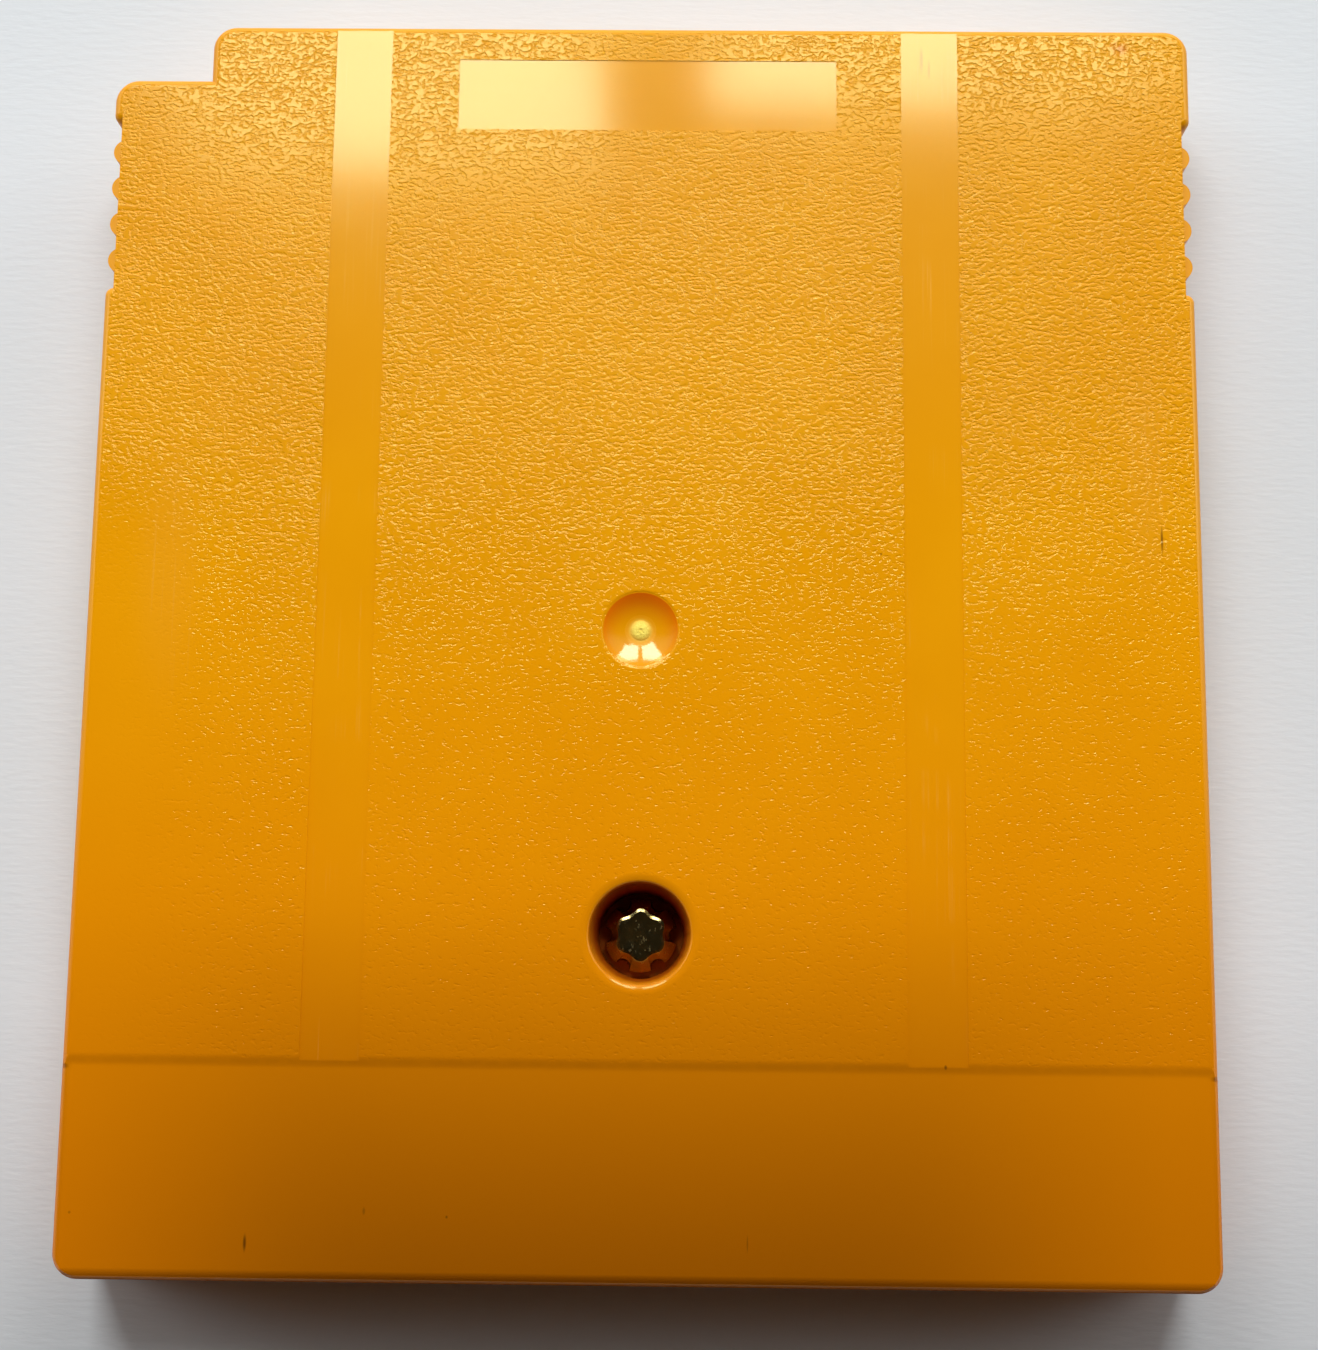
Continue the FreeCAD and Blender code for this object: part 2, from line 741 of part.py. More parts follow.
def make_leads(name, x, y):
    """Two rows of formed leads, from the middle of the package to the board."""
    body = new_body(f"{name}_chip_leads")
    root = f"{name}_width / 2"
    foot_end = f"{name}_span / 2"
    riser = f"{foot_end} - lead_foot"
    middle = "-chip_standoff - chip_height / 2"
    profile = (
        (root, f"{middle} - lead_thickness / 2"), (riser, f"{middle} - lead_thickness / 2"),
        (riser, "-lead_thickness"), (foot_end, "-lead_thickness"), (foot_end, "0"),
        (f"{riser} - lead_thickness", "0"), (f"{riser} - lead_thickness", f"{middle} + lead_thickness / 2"),
        (root, f"{middle} + lead_thickness / 2"),
    )
    run = f"lead_pitch * ({name}_lead_count - 1)"
    leads = []
    for side, sign in SIDES:
        offset = f"-({run} + lead_width) / 2"
        sketch = new_sketch(body, f"lead_profile_{side}", plane="YZ_Plane", offset=offset)
        draw_polygon(sketch, tuple((f"{sign} * ({y})", z) for y, z in profile))
        lead = body.newObject("PartDesign::Pad", f"lead_{side}")
        lead.Profile = sketch
        bind(lead, {"Length": "lead_width"})
        leads.append(lead)
        doc.recompute()
    rows = body.newObject("PartDesign::LinearPattern", "lead_rows")
    rows.Originals = leads
    rows.Direction = (origin_feature(body, "X_Axis"), [""])
    bind(rows, {"Length": run, "Occurrences": f"{name}_lead_count"})
    body.Tip = rows
    place(body, x, y, BOARD_FRONT)
    doc.recompute()
    return body


def place_cell_piece(body):
    """Set a piece of the coin cell group under the board."""
    place(body, "cell_x", f"cell_from_end + ({LOW_END})", BOARD_FRONT)
    doc.recompute()


def make_battery_cell():
    body = new_body("battery_cell")
    upper = "-cell_gap"
    lower = f"{upper} - cell_height"
    can_upper = f"{upper} - cell_cap_height"
    round_bar(body, "can", ("0", "0"), "cell_diameter / 2", lower, can_upper)
    can_levels = (
        -size("cell_gap") - size("cell_height"),
        -size("cell_gap") - size("cell_cap_height"),
    )
    fillet(
        body, "can_edges", "cell_edge_radius",
        lambda edge: any(at_level(edge, level) for level in can_levels),
    )
    round_bar(body, "cap", ("0", "0"), "cell_cap_diameter / 2", f"{can_upper} - cell_cap_height", upper)
    place_cell_piece(body)
    return body


def make_tab(label, sign, low):
    """A strip that lies on one face of the cell, rises to the board beside it and ends in a foot."""
    body = new_body(label)
    edge = "cell_diameter / 2"
    riser = f"{edge} + tab_stand_off"
    foot_end = f"{riser} + tab_foot"
    high = f"{low} + tab_thickness"
    profile = (
        (f"{edge} - tab_overlap", low), (riser, low), (riser, "-tab_thickness"), (foot_end, "-tab_thickness"),
        (foot_end, "0"), (f"{riser} - tab_thickness", "0"), (f"{riser} - tab_thickness", high),
        (f"{edge} - tab_overlap", high),
    )
    corners = tuple((f"{sign} * ({x})", z) for x, z in profile)
    sketch = new_sketch(body, "strip_profile", plane="XZ_Plane", offset="-tab_width / 2")
    draw_polygon(sketch, corners)
    strip = body.newObject("PartDesign::Pad", "strip")
    strip.Profile = sketch
    bind(strip, {"Length": "tab_width"})
    place_cell_piece(body)
    return body


def box_piece(name, low, high):
    """One plain box of a group."""
    piece = doc.addObject("Part::Box", name)
    place(piece, *low)
    for side, first, last in zip(("Length", "Width", "Height"), low, high):
        bind(piece, {side: f"({last}) - ({first})"})
    return piece


def group(label, pieces):
    """Like pieces that share a node as separate solids."""
    compound = doc.addObject("Part::Compound", label)
    compound.Label = label
    compound.Links = pieces
    doc.recompute()
    return compound


def make_chip_components(name, centres):
    """Ceramic bodies, and the plated terminals at their two ends, soldered under the board."""
    bodies = []
    terminals = []
    half_width = f"{name}_width / 2"
    reach = f"{name}_length / 2"
    core = f"({reach} - {name}_terminal)"
    low = f"{BOARD_FRONT} - {name}_height"
    for number, (x, y) in enumerate(centres, start=1):
        spans = ((f"-{core}", core), (f"-{reach}", f"-{core}"), (core, reach))
        made = []
        for part, (left, right) in zip(("body", "left", "right"), spans):
            made.append(box_piece(
                f"{name}_{part}_{number}",
                (f"{x} + {left}", f"{y} - {half_width}", low),
                (f"{x} + {right}", f"{y} + {half_width}", BOARD_FRONT),
            ))
        bodies.append(made[0])
        terminals.extend(made[1:])
    return [group(f"{name}_bodies", bodies), group(f"{name}_terminals", terminals)]


def capacitor_centres():
    """Two capacitors between the memories, and one above and one below the bank controller."""
    first = f"{BOARD_TOP} - capacitor_from_top"
    bank_y = f"bank_from_end + ({LOW_END})"
    reach = "(bank_span / 2 + capacitor_gap + capacitor_width / 2)"
    return (
        ("capacitor_column_x", first),
        ("capacitor_column_x", f"{first} - capacitor_pitch"),
        ("bank_x", f"{bank_y} + {reach}"),
        ("bank_x", f"{bank_y} - {reach}"),
    )


def resistor_centres():
    """A row of resistors below the coin cell."""
    y = f"cell_from_end + ({LOW_END}) - cell_diameter / 2 - resistor_gap"
    count = int(size("resistor_count"))
    return [(f"cell_x + resistor_pitch * ({index} - (resistor_count - 1) / 2)", y) for index in range(count)]


def make_all():
    pieces = [make_rear_shell(), make_front_shell(), make_front_label(), make_shell_screw()]
    pieces += [make_circuit_board(), make_edge_contacts()]
    chip_places = {
        "rom": ("rom_x", f"{BOARD_TOP} - rom_from_top"),
        "ram": ("ram_x", f"{BOARD_TOP} - ram_from_top"),
        "bank": ("bank_x", f"bank_from_end + ({LOW_END})"),
        "backup": ("backup_x", f"{BOARD_TOP} - backup_from_top"),
    }
    for name, (x, y) in chip_places.items():
        pieces += [make_chip(name, x, y), make_leads(name, x, y)]
    pieces.append(make_battery_cell())
    pieces.append(make_tab("battery_upper_tab", "1", "-cell_gap"))
    pieces.append(make_tab("battery_lower_tab", "-1", "-cell_gap - cell_height - tab_thickness"))
    pieces += make_chip_components("capacitor", capacitor_centres())
    pieces += make_chip_components("resistor", resistor_centres())
    return pieces


def check(pieces):
    """Stop before anything is written if an object failed or a shape is unsound."""
    doc.recompute()
    failed = [thing.Label for thing in doc.Objects if {"Invalid", "Error"} & set(thing.State)]
    unsound = [piece.Label for piece in pieces if piece.Shape.isNull() or not piece.Shape.isValid()]
    if failed or unsound:
        raise RuntimeError(f"failed objects: {failed}, unsound shapes: {unsound}")


parts = make_all()
check(parts)
os.makedirs("parts", exist_ok=True)
for piece in parts:
    piece.Shape.exportStep(f"parts/{piece.Label}.step")
    print(piece.Label, len(piece.Shape.Solids), round(piece.Shape.Volume, 3))
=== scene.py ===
# %% [markdown]
# # A game cartridge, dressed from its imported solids
#
# The cartridge is a flat case of two moulded halves with one screw, a circuit board inside and a slot for
# the console at one end. The solids already have their true sizes, so this lesson leaves them where they
# are and gives each one the finish of the real piece. Only the screw is modelled again, because its fine
# thread and its rounded shoulders are easier to make as a mesh.

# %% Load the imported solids
import math

import bmesh
import bpy
from mathutils import Matrix, Vector


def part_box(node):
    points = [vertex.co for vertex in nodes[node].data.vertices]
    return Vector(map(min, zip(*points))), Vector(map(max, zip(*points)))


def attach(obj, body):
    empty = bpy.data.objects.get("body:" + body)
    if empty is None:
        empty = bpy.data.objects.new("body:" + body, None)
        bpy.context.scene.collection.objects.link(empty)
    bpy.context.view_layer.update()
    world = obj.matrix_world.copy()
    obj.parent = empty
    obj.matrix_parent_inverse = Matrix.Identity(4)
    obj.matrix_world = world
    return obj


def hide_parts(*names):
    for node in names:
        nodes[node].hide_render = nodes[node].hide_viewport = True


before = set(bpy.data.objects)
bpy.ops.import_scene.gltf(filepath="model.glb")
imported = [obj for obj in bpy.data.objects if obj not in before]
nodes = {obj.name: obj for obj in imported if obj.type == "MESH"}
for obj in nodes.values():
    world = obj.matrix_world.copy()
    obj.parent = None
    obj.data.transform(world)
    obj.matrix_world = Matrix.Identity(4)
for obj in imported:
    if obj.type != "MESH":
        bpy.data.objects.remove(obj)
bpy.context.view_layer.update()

MM = 0.001

# %% [markdown]
# ## Shader maths as plain Python
#
# A finish is mostly arithmetic: a mask for where the grain lies, times how deep it is, plus the scratches.
# Written node by node that is hard to read. So one small class wraps a socket and lets Python's operators
# add the Math nodes, and one method adds every other kind of node: its settings first, then the value or
# the link of each socket.


# %% A socket that takes operators
class Signal:
    """One output socket. Each operator on it adds a Math node."""

    def __init__(self, bench, socket):
        self.bench = bench
        self.socket = socket

    def math(self, operation, *values):
        return self.bench.node("ShaderNodeMath", {"operation": operation}, dict(enumerate(values)))

    def __add__(self, other):
        return self.math("ADD", self, other)

    def __sub__(self, other):
        return self.math("SUBTRACT", self, other)

    def __rsub__(self, other):
        return self.math("SUBTRACT", other, self)

    def __mul__(self, other):
        return self.math("MULTIPLY", self, other)

    def __truediv__(self, other):
        return self.math("DIVIDE", self, other)

    def __pow__(self, other):
        return self.math("POWER", self, other)

    def __abs__(self):
        return self.math("ABSOLUTE", self)

    def least(self, other):
        return self.math("MINIMUM", self, other)

    def most(self, other):
        return self.math("MAXIMUM", self, other)

    def clamped(self):
        return self.most(0.0).least(1.0)

    def fract(self):
        return self.math("FRACT", self)

    __radd__ = __add__
    __rmul__ = __mul__


# %% A bench that adds nodes to one material or world
class Bench:
    def __init__(self, owner):
        owner.use_nodes = True
        self.owner = owner
        self.nodes = owner.node_tree.nodes
        self.links = owner.node_tree.links

    def feed(self, socket, value):
        if isinstance(value, Signal):
            self.links.new(value.socket, socket)
        else:
            socket.default_value = value

    def node(self, kind, settings, inputs, output=0):
        """A new node of a kind: its settings, then its sockets' values or links."""
        made = self.nodes.new(kind)
        for name, value in settings.items():
            setattr(made, name, value)
        for name, value in inputs.items():
            self.feed(made.inputs[name], value)
        return Signal(self, made.outputs[output])

    def place(self):
        """The point on the piece, in its own metres."""
        return self.node("ShaderNodeTexCoord", {}, {}, "Object")

    def axes(self, vector):
        """The x, y and z of a vector."""
        return [self.node("ShaderNodeSeparateXYZ", {}, {0: vector}, axis) for axis in "XYZ"]

    def stretched(self, vector, scale):
        return self.node("ShaderNodeMapping", {}, {"Vector": vector, "Scale": scale})

    def noise(self, vector, size, detail=2.0, roughness=0.5):
        """Soft noise from 0 to 1 with blotches of about a size."""
        inputs = {"Vector": vector, "Scale": 1 / size, "Detail": detail, "Roughness": roughness}
        return self.node("ShaderNodeTexNoise", {}, inputs)

    def ramp(self, value, low, high):
        """A soft step: 0 at low, 1 at high, and flat beyond them."""
        inputs = {"Value": value, "From Min": low, "From Max": high}
        return self.node("ShaderNodeMapRange", {"interpolation_type": "SMOOTHSTEP"}, inputs)

    def mix(self, share, first, second):
        """The first colour where share is 0 and the second where it is 1."""
        return self.node("ShaderNodeMix", {"data_type": "RGBA"}, {0: share, 6: first, 7: second}, 2)

    def bump(self, height):
        """A normal from a height in metres."""
        return self.node("ShaderNodeBump", {}, {"Height": height, "Distance": 1.0, "Strength": 1.0}, "Normal")

    def spot(self, x, y, centre, half, soft):
        """1 inside an upright oval, fading to 0 over the soft share of its half sizes."""
        across = (x - centre[0]) / half[0]
        along = (y - centre[1]) / half[1]
        return 1 - self.ramp((across * across + along * along) ** 0.5, 1 - soft, 1.0)


def srgb(red, green, blue):
    """A colour as a shader wants it, from the numbers of a picture."""
    def linear(value):
        share = value / 255
        return share / 12.92 if share <= 0.04045 else ((share + 0.055) / 1.055) ** 2.4
    return linear(red), linear(green), linear(blue), 1.0


def new_finish(name):
    return Bench(bpy.data.materials.new(name))


def finish(bench, values):
    """Set the shader's own sockets, hand the material back."""
    shader = bench.nodes["Principled BSDF"]
    for name, value in values.items():
        bench.feed(shader.inputs[name], value)
    return bench.owner


def dress(material, *names):
    """Give solids a finish."""
    for name in names:
        for slot in nodes[name].material_slots:
            slot.material = material
    print(material.name, "on", ", ".join(names))


# %% [markdown]
# ## Camera
#
# The photograph was taken by hand from close above, a little towards the connector end, so the far end
# looks narrower. A pinhole camera was fitted to the outline of the case. Its place is written from the
# middle of the case's front face, and its lens from the focal length in pixels of a 1318 by 1350 picture.

# %% Camera
IMAGE_HEIGHT = 1350
FOCAL_PIXELS = 2099.6
SENSOR = 36.0
CAMERA_PLACE = (2.28 * MM, -19.30 * MM, 112.59 * MM)
CAMERA_TURN = (9.118, 0.693, 0.661)

lens = bpy.data.cameras.new("camera")
lens.sensor_fit = "VERTICAL"
lens.sensor_height = SENSOR
lens.lens = FOCAL_PIXELS / IMAGE_HEIGHT * SENSOR
lens.clip_start = MM
camera = bpy.data.objects.new("camera", lens)
camera.location = CAMERA_PLACE
camera.rotation_euler = [math.radians(angle) for angle in CAMERA_TURN]
bpy.context.scene.collection.objects.link(camera)
bpy.context.scene.camera = camera
print("lens", round(lens.lens, 2), "mm")

# %% [markdown]
# ## Floor, window light and sky
#
# The case lies on white paper. The paper could curl up into a backdrop, but a plane that fades into one
# pale tone far from the case gives the same clean ground from every side. The fade asks what kind of ray
# looks at the paper: the camera and mirrors see the pale tone, and the soft light that the paper throws
# back onto the case stays as it is.


# %% Paper floor
FLOOR_HALF = 2.0
FADE_START = 0.07
FADE_END = 0.32
BACKDROP = 0.78
BACKDROP_COLOUR = (0.93, 0.97, 1.0, 1.0)
FIBRE_SIZE = 1.2 * MM
FIBRE_STRETCH = (1.0, 4.0, 1.0)
FIBRE_HEIGHT = 0.02 * MM
PAPER_CLOUD = 30 * MM


def new_piece(name, mesh_maker):
    """An object from a mesh that is shaped by a function."""
    shape = bmesh.new()
    mesh_maker(shape)
    mesh = bpy.data.meshes.new(name)
    shape.to_mesh(mesh)
    shape.free()
    piece = bpy.data.objects.new(name, mesh)
    bpy.context.scene.collection.objects.link(piece)
    return piece


def seen_directly(bench, share=1.0):
    """1 for a ray of the camera, and a share of it for one mirrored or bent by a piece."""
    by_camera, in_gloss, through_glass = (
        bench.node("ShaderNodeLightPath", {}, {}, ray)
        for ray in ("Is Camera Ray", "Is Glossy Ray", "Is Transmission Ray")
    )
    return by_camera.most(in_gloss.most(through_glass) * share)


def paper_finish():
    bench = new_finish("paper")
    vector = bench.place()
    fibre = bench.noise(bench.stretched(vector, FIBRE_STRETCH), FIBRE_SIZE, detail=4.0)
    cloud = bench.noise(vector, PAPER_CLOUD)
    colour = bench.mix(bench.ramp(cloud, 0.3, 0.7), srgb(213, 217, 219), srgb(218, 221, 223))
    normal = bench.bump(fibre * FIBRE_HEIGHT)
    paper = finish(bench, {"Base Color": colour, "Roughness": 0.85, "Normal": normal})
    x, y = bench.axes(vector)[:2]
    far = bench.ramp((x * x + y * y) ** 0.5, FADE_START, FADE_END) * seen_directly(bench)
    glow = bench.node("ShaderNodeEmission", {}, {"Color": BACKDROP_COLOUR, "Strength": BACKDROP})
    lit = Signal(bench, bench.nodes["Principled BSDF"].outputs[0])
    faded = bench.node("ShaderNodeMixShader", {}, {0: far, 1: lit, 2: glow})
    bench.feed(bench.nodes["Material Output"].inputs["Surface"], faded)
    return paper


floor = new_piece("floor", lambda shape: bmesh.ops.create_grid(shape, size=FLOOR_HALF))
floor.data.materials.append(paper_finish())
print("floor", 2 * FLOOR_HALF, "m wide, fading from", FADE_START, "to", FADE_END, "m")

# %% [markdown]
# The light comes from a window with two panes beyond the notched end. They do most of the work: the smooth
# bands and the nameplate mirror them, and each pit of the grain catches them. A dim sill below them lights
# the side of the case that faces the window. All three are area lights that stand upright, because a lamp
# with the window's own size and place gives reflections of the right form. A dark card close above stands
# for the camera, which shades the middle of the face. It is hidden from the view, but it still shades and
# is still mirrored, as a real one would be.

# %% Window panes
WINDOW_Y = 220 * MM
PANE_COLOUR = (0.97, 1.0, 1.02)
# Left, right, foot and top of each, and how bright it is
PANES = {
    "left_pane": (-138 * MM, -22 * MM, 228 * MM, 476 * MM, 14.2),
    "right_pane": (6 * MM, 124 * MM, 228 * MM, 432 * MM, 14.2),
    "sill": (-165 * MM, 150 * MM, 20 * MM, 150 * MM, 0.9),
}

for name, (left, right, foot, top, brightness) in PANES.items():
    pane = bpy.data.lights.new(name, "AREA")
    pane.shape = "RECTANGLE"
    pane.size = right - left
    pane.size_y = top - foot
    pane.color = PANE_COLOUR
    pane.energy = math.pi * brightness * pane.size * pane.size_y
    lamp = bpy.data.objects.new(name, pane)
    lamp.location = ((left + right) / 2, WINDOW_Y, (top + foot) / 2)
    lamp.rotation_euler = (-math.pi / 2, 0, 0)
    bpy.context.scene.collection.objects.link(lamp)
    print(name, round(pane.energy, 2), "W")

# %% Card for the camera's shade
CARD_LEVEL = 41 * MM
CARD_LEFT = -27 * MM
CARD_RIGHT = 24 * MM
CARD_LOW = -80 * MM
CARD_HIGH = 4 * MM


def card_shape(shape):
    verts = bmesh.ops.create_grid(shape, size=1.0)["verts"]
    half = ((CARD_RIGHT - CARD_LEFT) / 2, (CARD_HIGH - CARD_LOW) / 2, 1.0)
    middle = ((CARD_RIGHT + CARD_LEFT) / 2, (CARD_HIGH + CARD_LOW) / 2, CARD_LEVEL)
    bmesh.ops.scale(shape, verts=verts, vec=half)
    bmesh.ops.translate(shape, verts=verts, vec=middle)


card_bench = new_finish("card")
card = new_piece("camera_card", card_shape)
card.data.materials.append(finish(card_bench, {"Base Color": srgb(24, 24, 26), "Roughness": 0.8}))
card.visible_camera = False
print("card", round((CARD_RIGHT - CARD_LEFT) / MM), "by", round((CARD_HIGH - CARD_LOW) / MM), "mm")

# %% [markdown]
# The rest of the room is the world: dark overhead with a glow high up towards the window, bright walls at
# both sides, and a dim warm side behind the camera, for the light that paper and plastic throw back into
# the shadow. The camera sees one pale tone instead, and so do mirrors that look towards the horizon.

# %% Sky
CEILING = 0.03
GLOW = 0.55
WALL = 0.6
SIDE_WALL = 2.1
BACK_WALL = 0.07
BACK_COLOUR = (1.0, 0.45, 0.16, 1.0)
# Parts of a direction's x, y or z between which each region of the room comes in
FACING = (-0.05, 0.3)
BESIDE = (0.6, 0.75)
OVERHEAD = (0.55, 0.9)
GLOWING = (0.22, 0.42)
HORIZON = (0.2, 0.4)

world = bpy.data.worlds.new("sky")
bpy.context.scene.world = world
sky = Bench(world)
direction = sky.node("ShaderNodeTexCoord", {}, {}, "Generated")
sideways, towards_window, upwards = sky.axes(direction)
facing = sky.ramp(towards_window, *FACING)
beside = sky.ramp(abs(sideways), *BESIDE) * SIDE_WALL
wall = BACK_WALL + facing * (WALL - BACK_WALL + beside)
overhead = sky.ramp(upwards, *OVERHEAD)
ceiling = CEILING + sky.ramp(towards_window, *GLOWING) * GLOW
level = wall * (1 - overhead) + ceiling * overhead
horizon = 1 - sky.ramp(upwards, *HORIZON)
seen = seen_directly(sky, horizon)
sky.feed(sky.nodes["Background"].inputs["Strength"], level * (1 - seen) + BACKDROP * seen)
sky.feed(sky.nodes["Background"].inputs["Color"], sky.mix(facing.most(seen), BACK_COLOUR, BACKDROP_COLOUR))

settings = bpy.context.scene.view_settings
settings.view_transform = "Standard"
print("walls", BACK_WALL, "to", WALL + SIDE_WALL, "backdrop", BACKDROP)

# %% [markdown]
# ## Case plastic
#
# Both halves are moulded in the same orange-yellow plastic. The mould gave the rear face a leathery grain
# and left the bands, the nameplate, the dimple and the panel at the connector end smooth. The solids have
# those levels, so the height of a point is enough to say where the grain lies: only the main face is at
# the very top. The finish is built in layers, and they share one set of masks, because colour and gloss
# have to change at the same places as the relief.

# %% Levels and lines of the rear face
rear_low, rear_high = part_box("rear_shell")
FACE_LEVEL = rear_high.z
SEAM_LEVEL = 3.9 * MM
PANEL_DROP = 0.08 * MM
CREASE_Y = rear_low.y + 10.38 * MM
CREASE_WIDTH = 0.4 * MM
BAND_MIDDLE = -0.24 * MM
BAND_REACH = 15.0 * MM
BAND_HALF = 1.485 * MM
BAND_DROP = 0.03 * MM
DIMPLE = (-0.15 * MM, -0.12 * MM)
DIMPLE_RADIUS = 1.95 * MM
GATE_RADIUS = 0.7 * MM
WELL = (0.0, -15.47 * MM)
WELL_MOUTH = 2.6 * MM
# Depths under the main face between which each mask fades
REAR_DEPTHS = (0.9 * MM, 0.6 * MM)
UPPER_DEPTHS = (0.3 * MM, 0.2 * MM)
SHALLOW_DEPTHS = (0.12 * MM, 0.09 * MM)
GRAINED_DEPTHS = (0.022 * MM, 0.004 * MM)
BAND_SOFT = 0.02 * MM
print("main face at", round(FACE_LEVEL / MM, 2), "mm, crease at y", round(CREASE_Y / MM, 2), "mm")


# %% Masks that the layers share
class Face:
    """A point of the case, and masks for the parts of the rear face."""

    def __init__(self, bench):
        self.bench = bench
        self.vector = bench.place()
        self.x, self.y, self.z = bench.axes(self.vector)
        self.rear = self.above(*REAR_DEPTHS)
        self.shallow = self.above(*SHALLOW_DEPTHS)
        self.grained = self.above(*GRAINED_DEPTHS)
        from_middle = abs(abs(self.x - BAND_MIDDLE) - BAND_REACH)
        self.band = 1 - bench.ramp(from_middle, BAND_HALF - BAND_SOFT, BAND_HALF)
        self.from_well = self.distance(WELL)
        self.from_dimple = self.distance(DIMPLE)
        self.hollow = self.spot(DIMPLE, (DIMPLE_RADIUS, DIMPLE_RADIUS), 0.05)
        self.gate = self.spot(DIMPLE, (GATE_RADIUS, GATE_RADIUS), 0.6)

    def above(self, low, high):
        """0 for a point deeper than low under the main face, 1 from high upwards."""
        return self.bench.ramp(self.z, FACE_LEVEL - low, FACE_LEVEL - high)

    def distance(self, centre):
        return ((self.x - centre[0]) ** 2 + (self.y - centre[1]) ** 2) ** 0.5

    def spot(self, centre, half, soft):
        """An oval on the rear face only."""
        return self.bench.spot(self.x, self.y, centre, half, soft) * self.rear


# %% [markdown]
# The grain is far too fine to model, so it is a bump: noise, drawn out a little across the case, with its
# tops cut flat. That leaves plateaus with narrow pits between them. The pits are crowded near the notched
# end and thin out towards the connector end. They are shallow near the left edge, as if hands had smoothed
# it. Rubbed streaks near both long edges and fine scratches along the bands go over that.

# %% Grain, rubs and scratches
GRAIN_SIZE = 0.18 * MM
GRAIN_STRETCH = (0.66, 1.0, 1.0)
GRAIN_DEPTH = 0.024 * MM
# Stretches over which the pits thin out, get shallower, deepen at the right and are smoothed at the left
THIN_Y = (-10 * MM, 14 * MM)
FADE_Y = (-4 * MM, 13 * MM)
DEEPER_X = (4 * MM, 20 * MM)
DEEPER_Y = (0.0, 16 * MM)
SMOOTHED_X = (-27 * MM, -20 * MM)
SMOOTHED_Y = (3 * MM, 14 * MM)
SCRATCH_SIZE = 0.16 * MM
SCRATCH_STRETCH = (1.0, 0.012, 1.0)
SCRATCH_PATCH = 3 * MM
SCRATCH_DEPTH = 0.0015 * MM
# Middle, half width and half length of each rubbed streak
RUBS = (
    ((-24.4 * MM, 3.0 * MM), (2.3 * MM, 9.0 * MM)),
    ((25.6 * MM, 8.0 * MM), (1.6 * MM, 8.0 * MM)),
)


def rub_mask(face):
    return sum(face.spot(centre, half, 0.9) for centre, half in RUBS)


def grain_relief(face, rub):
    bench = face.bench
    x = face.x
    y = face.y
    leather = bench.noise(bench.stretched(face.vector, GRAIN_STRETCH), GRAIN_SIZE)
    sparse = 1 - bench.ramp(y, *THIN_Y)
    pits = bench.ramp(leather + sparse * 0.09, 0.3, 0.56) - 1
    kept = 0.5 + bench.ramp(y, *FADE_Y) * 0.5
    kept = kept + bench.ramp(x, *DEEPER_X) * bench.ramp(y, *DEEPER_Y) * 0.4
    smoothed = (1 - bench.ramp(x, *SMOOTHED_X)) * (1 - bench.ramp(y, *SMOOTHED_Y))
    kept = kept * (1 - smoothed * 0.75) * (1 - 0.4 * rub)
    return pits * face.grained * kept * GRAIN_DEPTH


def scratch_mask(face, rub):
    bench = face.bench
    streaks = bench.noise(bench.stretched(face.vector, SCRATCH_STRETCH), SCRATCH_SIZE, 3.0, 0.6)
    patches = bench.ramp(bench.noise(face.vector, SCRATCH_PATCH), 0.45, 0.65)
    off_panel = bench.ramp(face.y, CREASE_Y, CREASE_Y + CREASE_WIDTH)
    worn = (face.band * (1 - face.grained) * off_panel * patches).most(rub)
    return bench.ramp(streaks, 0.56, 0.72) * worn


print("grain of", round(GRAIN_SIZE / MM, 2), "mm,", len(RUBS), "rubbed streaks")

# %% [markdown]
# A moulded edge is never sharp. The solids have the true levels with crisp edges, and the last softness is
# bump as well: the crease comes in and goes out gently, the panel's rim is rounded, the lip of the dimple
# and the rim of the well roll over, and the stub in the dimple is torn where the gate broke off.

# %% Soft edges
CREASE_SOFT = 0.14 * MM
RIM_START = 0.2 * MM
RIM_WIDTH = 0.4 * MM
RIM_ROUND = 0.12 * MM
RIM_FADE = 0.3 * MM
WELL_RIM = 3.05 * MM
# The rim of the well leaves the face with a slight rise and then falls into the mouth
ROLL_RISE = 0.078 * MM
ROLL_FALL = 0.095 * MM
LIP_RADIUS = 2.10 * MM
LIP_ROUND = 0.026 * MM
TORN_SIZE = 0.11 * MM
TORN_HEIGHT = 0.05 * MM


def crease_relief(face):
    """What turns the straight slope of the crease into a soft one."""
    slope = ((face.y - CREASE_Y) / CREASE_WIDTH).clamped()
    soft_slope = face.bench.ramp(face.y, CREASE_Y - CREASE_SOFT, CREASE_Y + CREASE_WIDTH + CREASE_SOFT)
    above = 1 - face.band * (BAND_DROP / PANEL_DROP)
    return (soft_slope.least(above) - slope.least(above)) * PANEL_DROP


def panel_rim_relief(face):
    from_edge = (rear_high.x - abs(face.x)).least(face.y - rear_low.y)
    inside = ((from_edge - RIM_START) / RIM_WIDTH).clamped()
    on_panel = 1 - face.bench.ramp(face.y, CREASE_Y - RIM_FADE, CREASE_Y)
    return (1 - inside) ** 2 * on_panel * RIM_ROUND


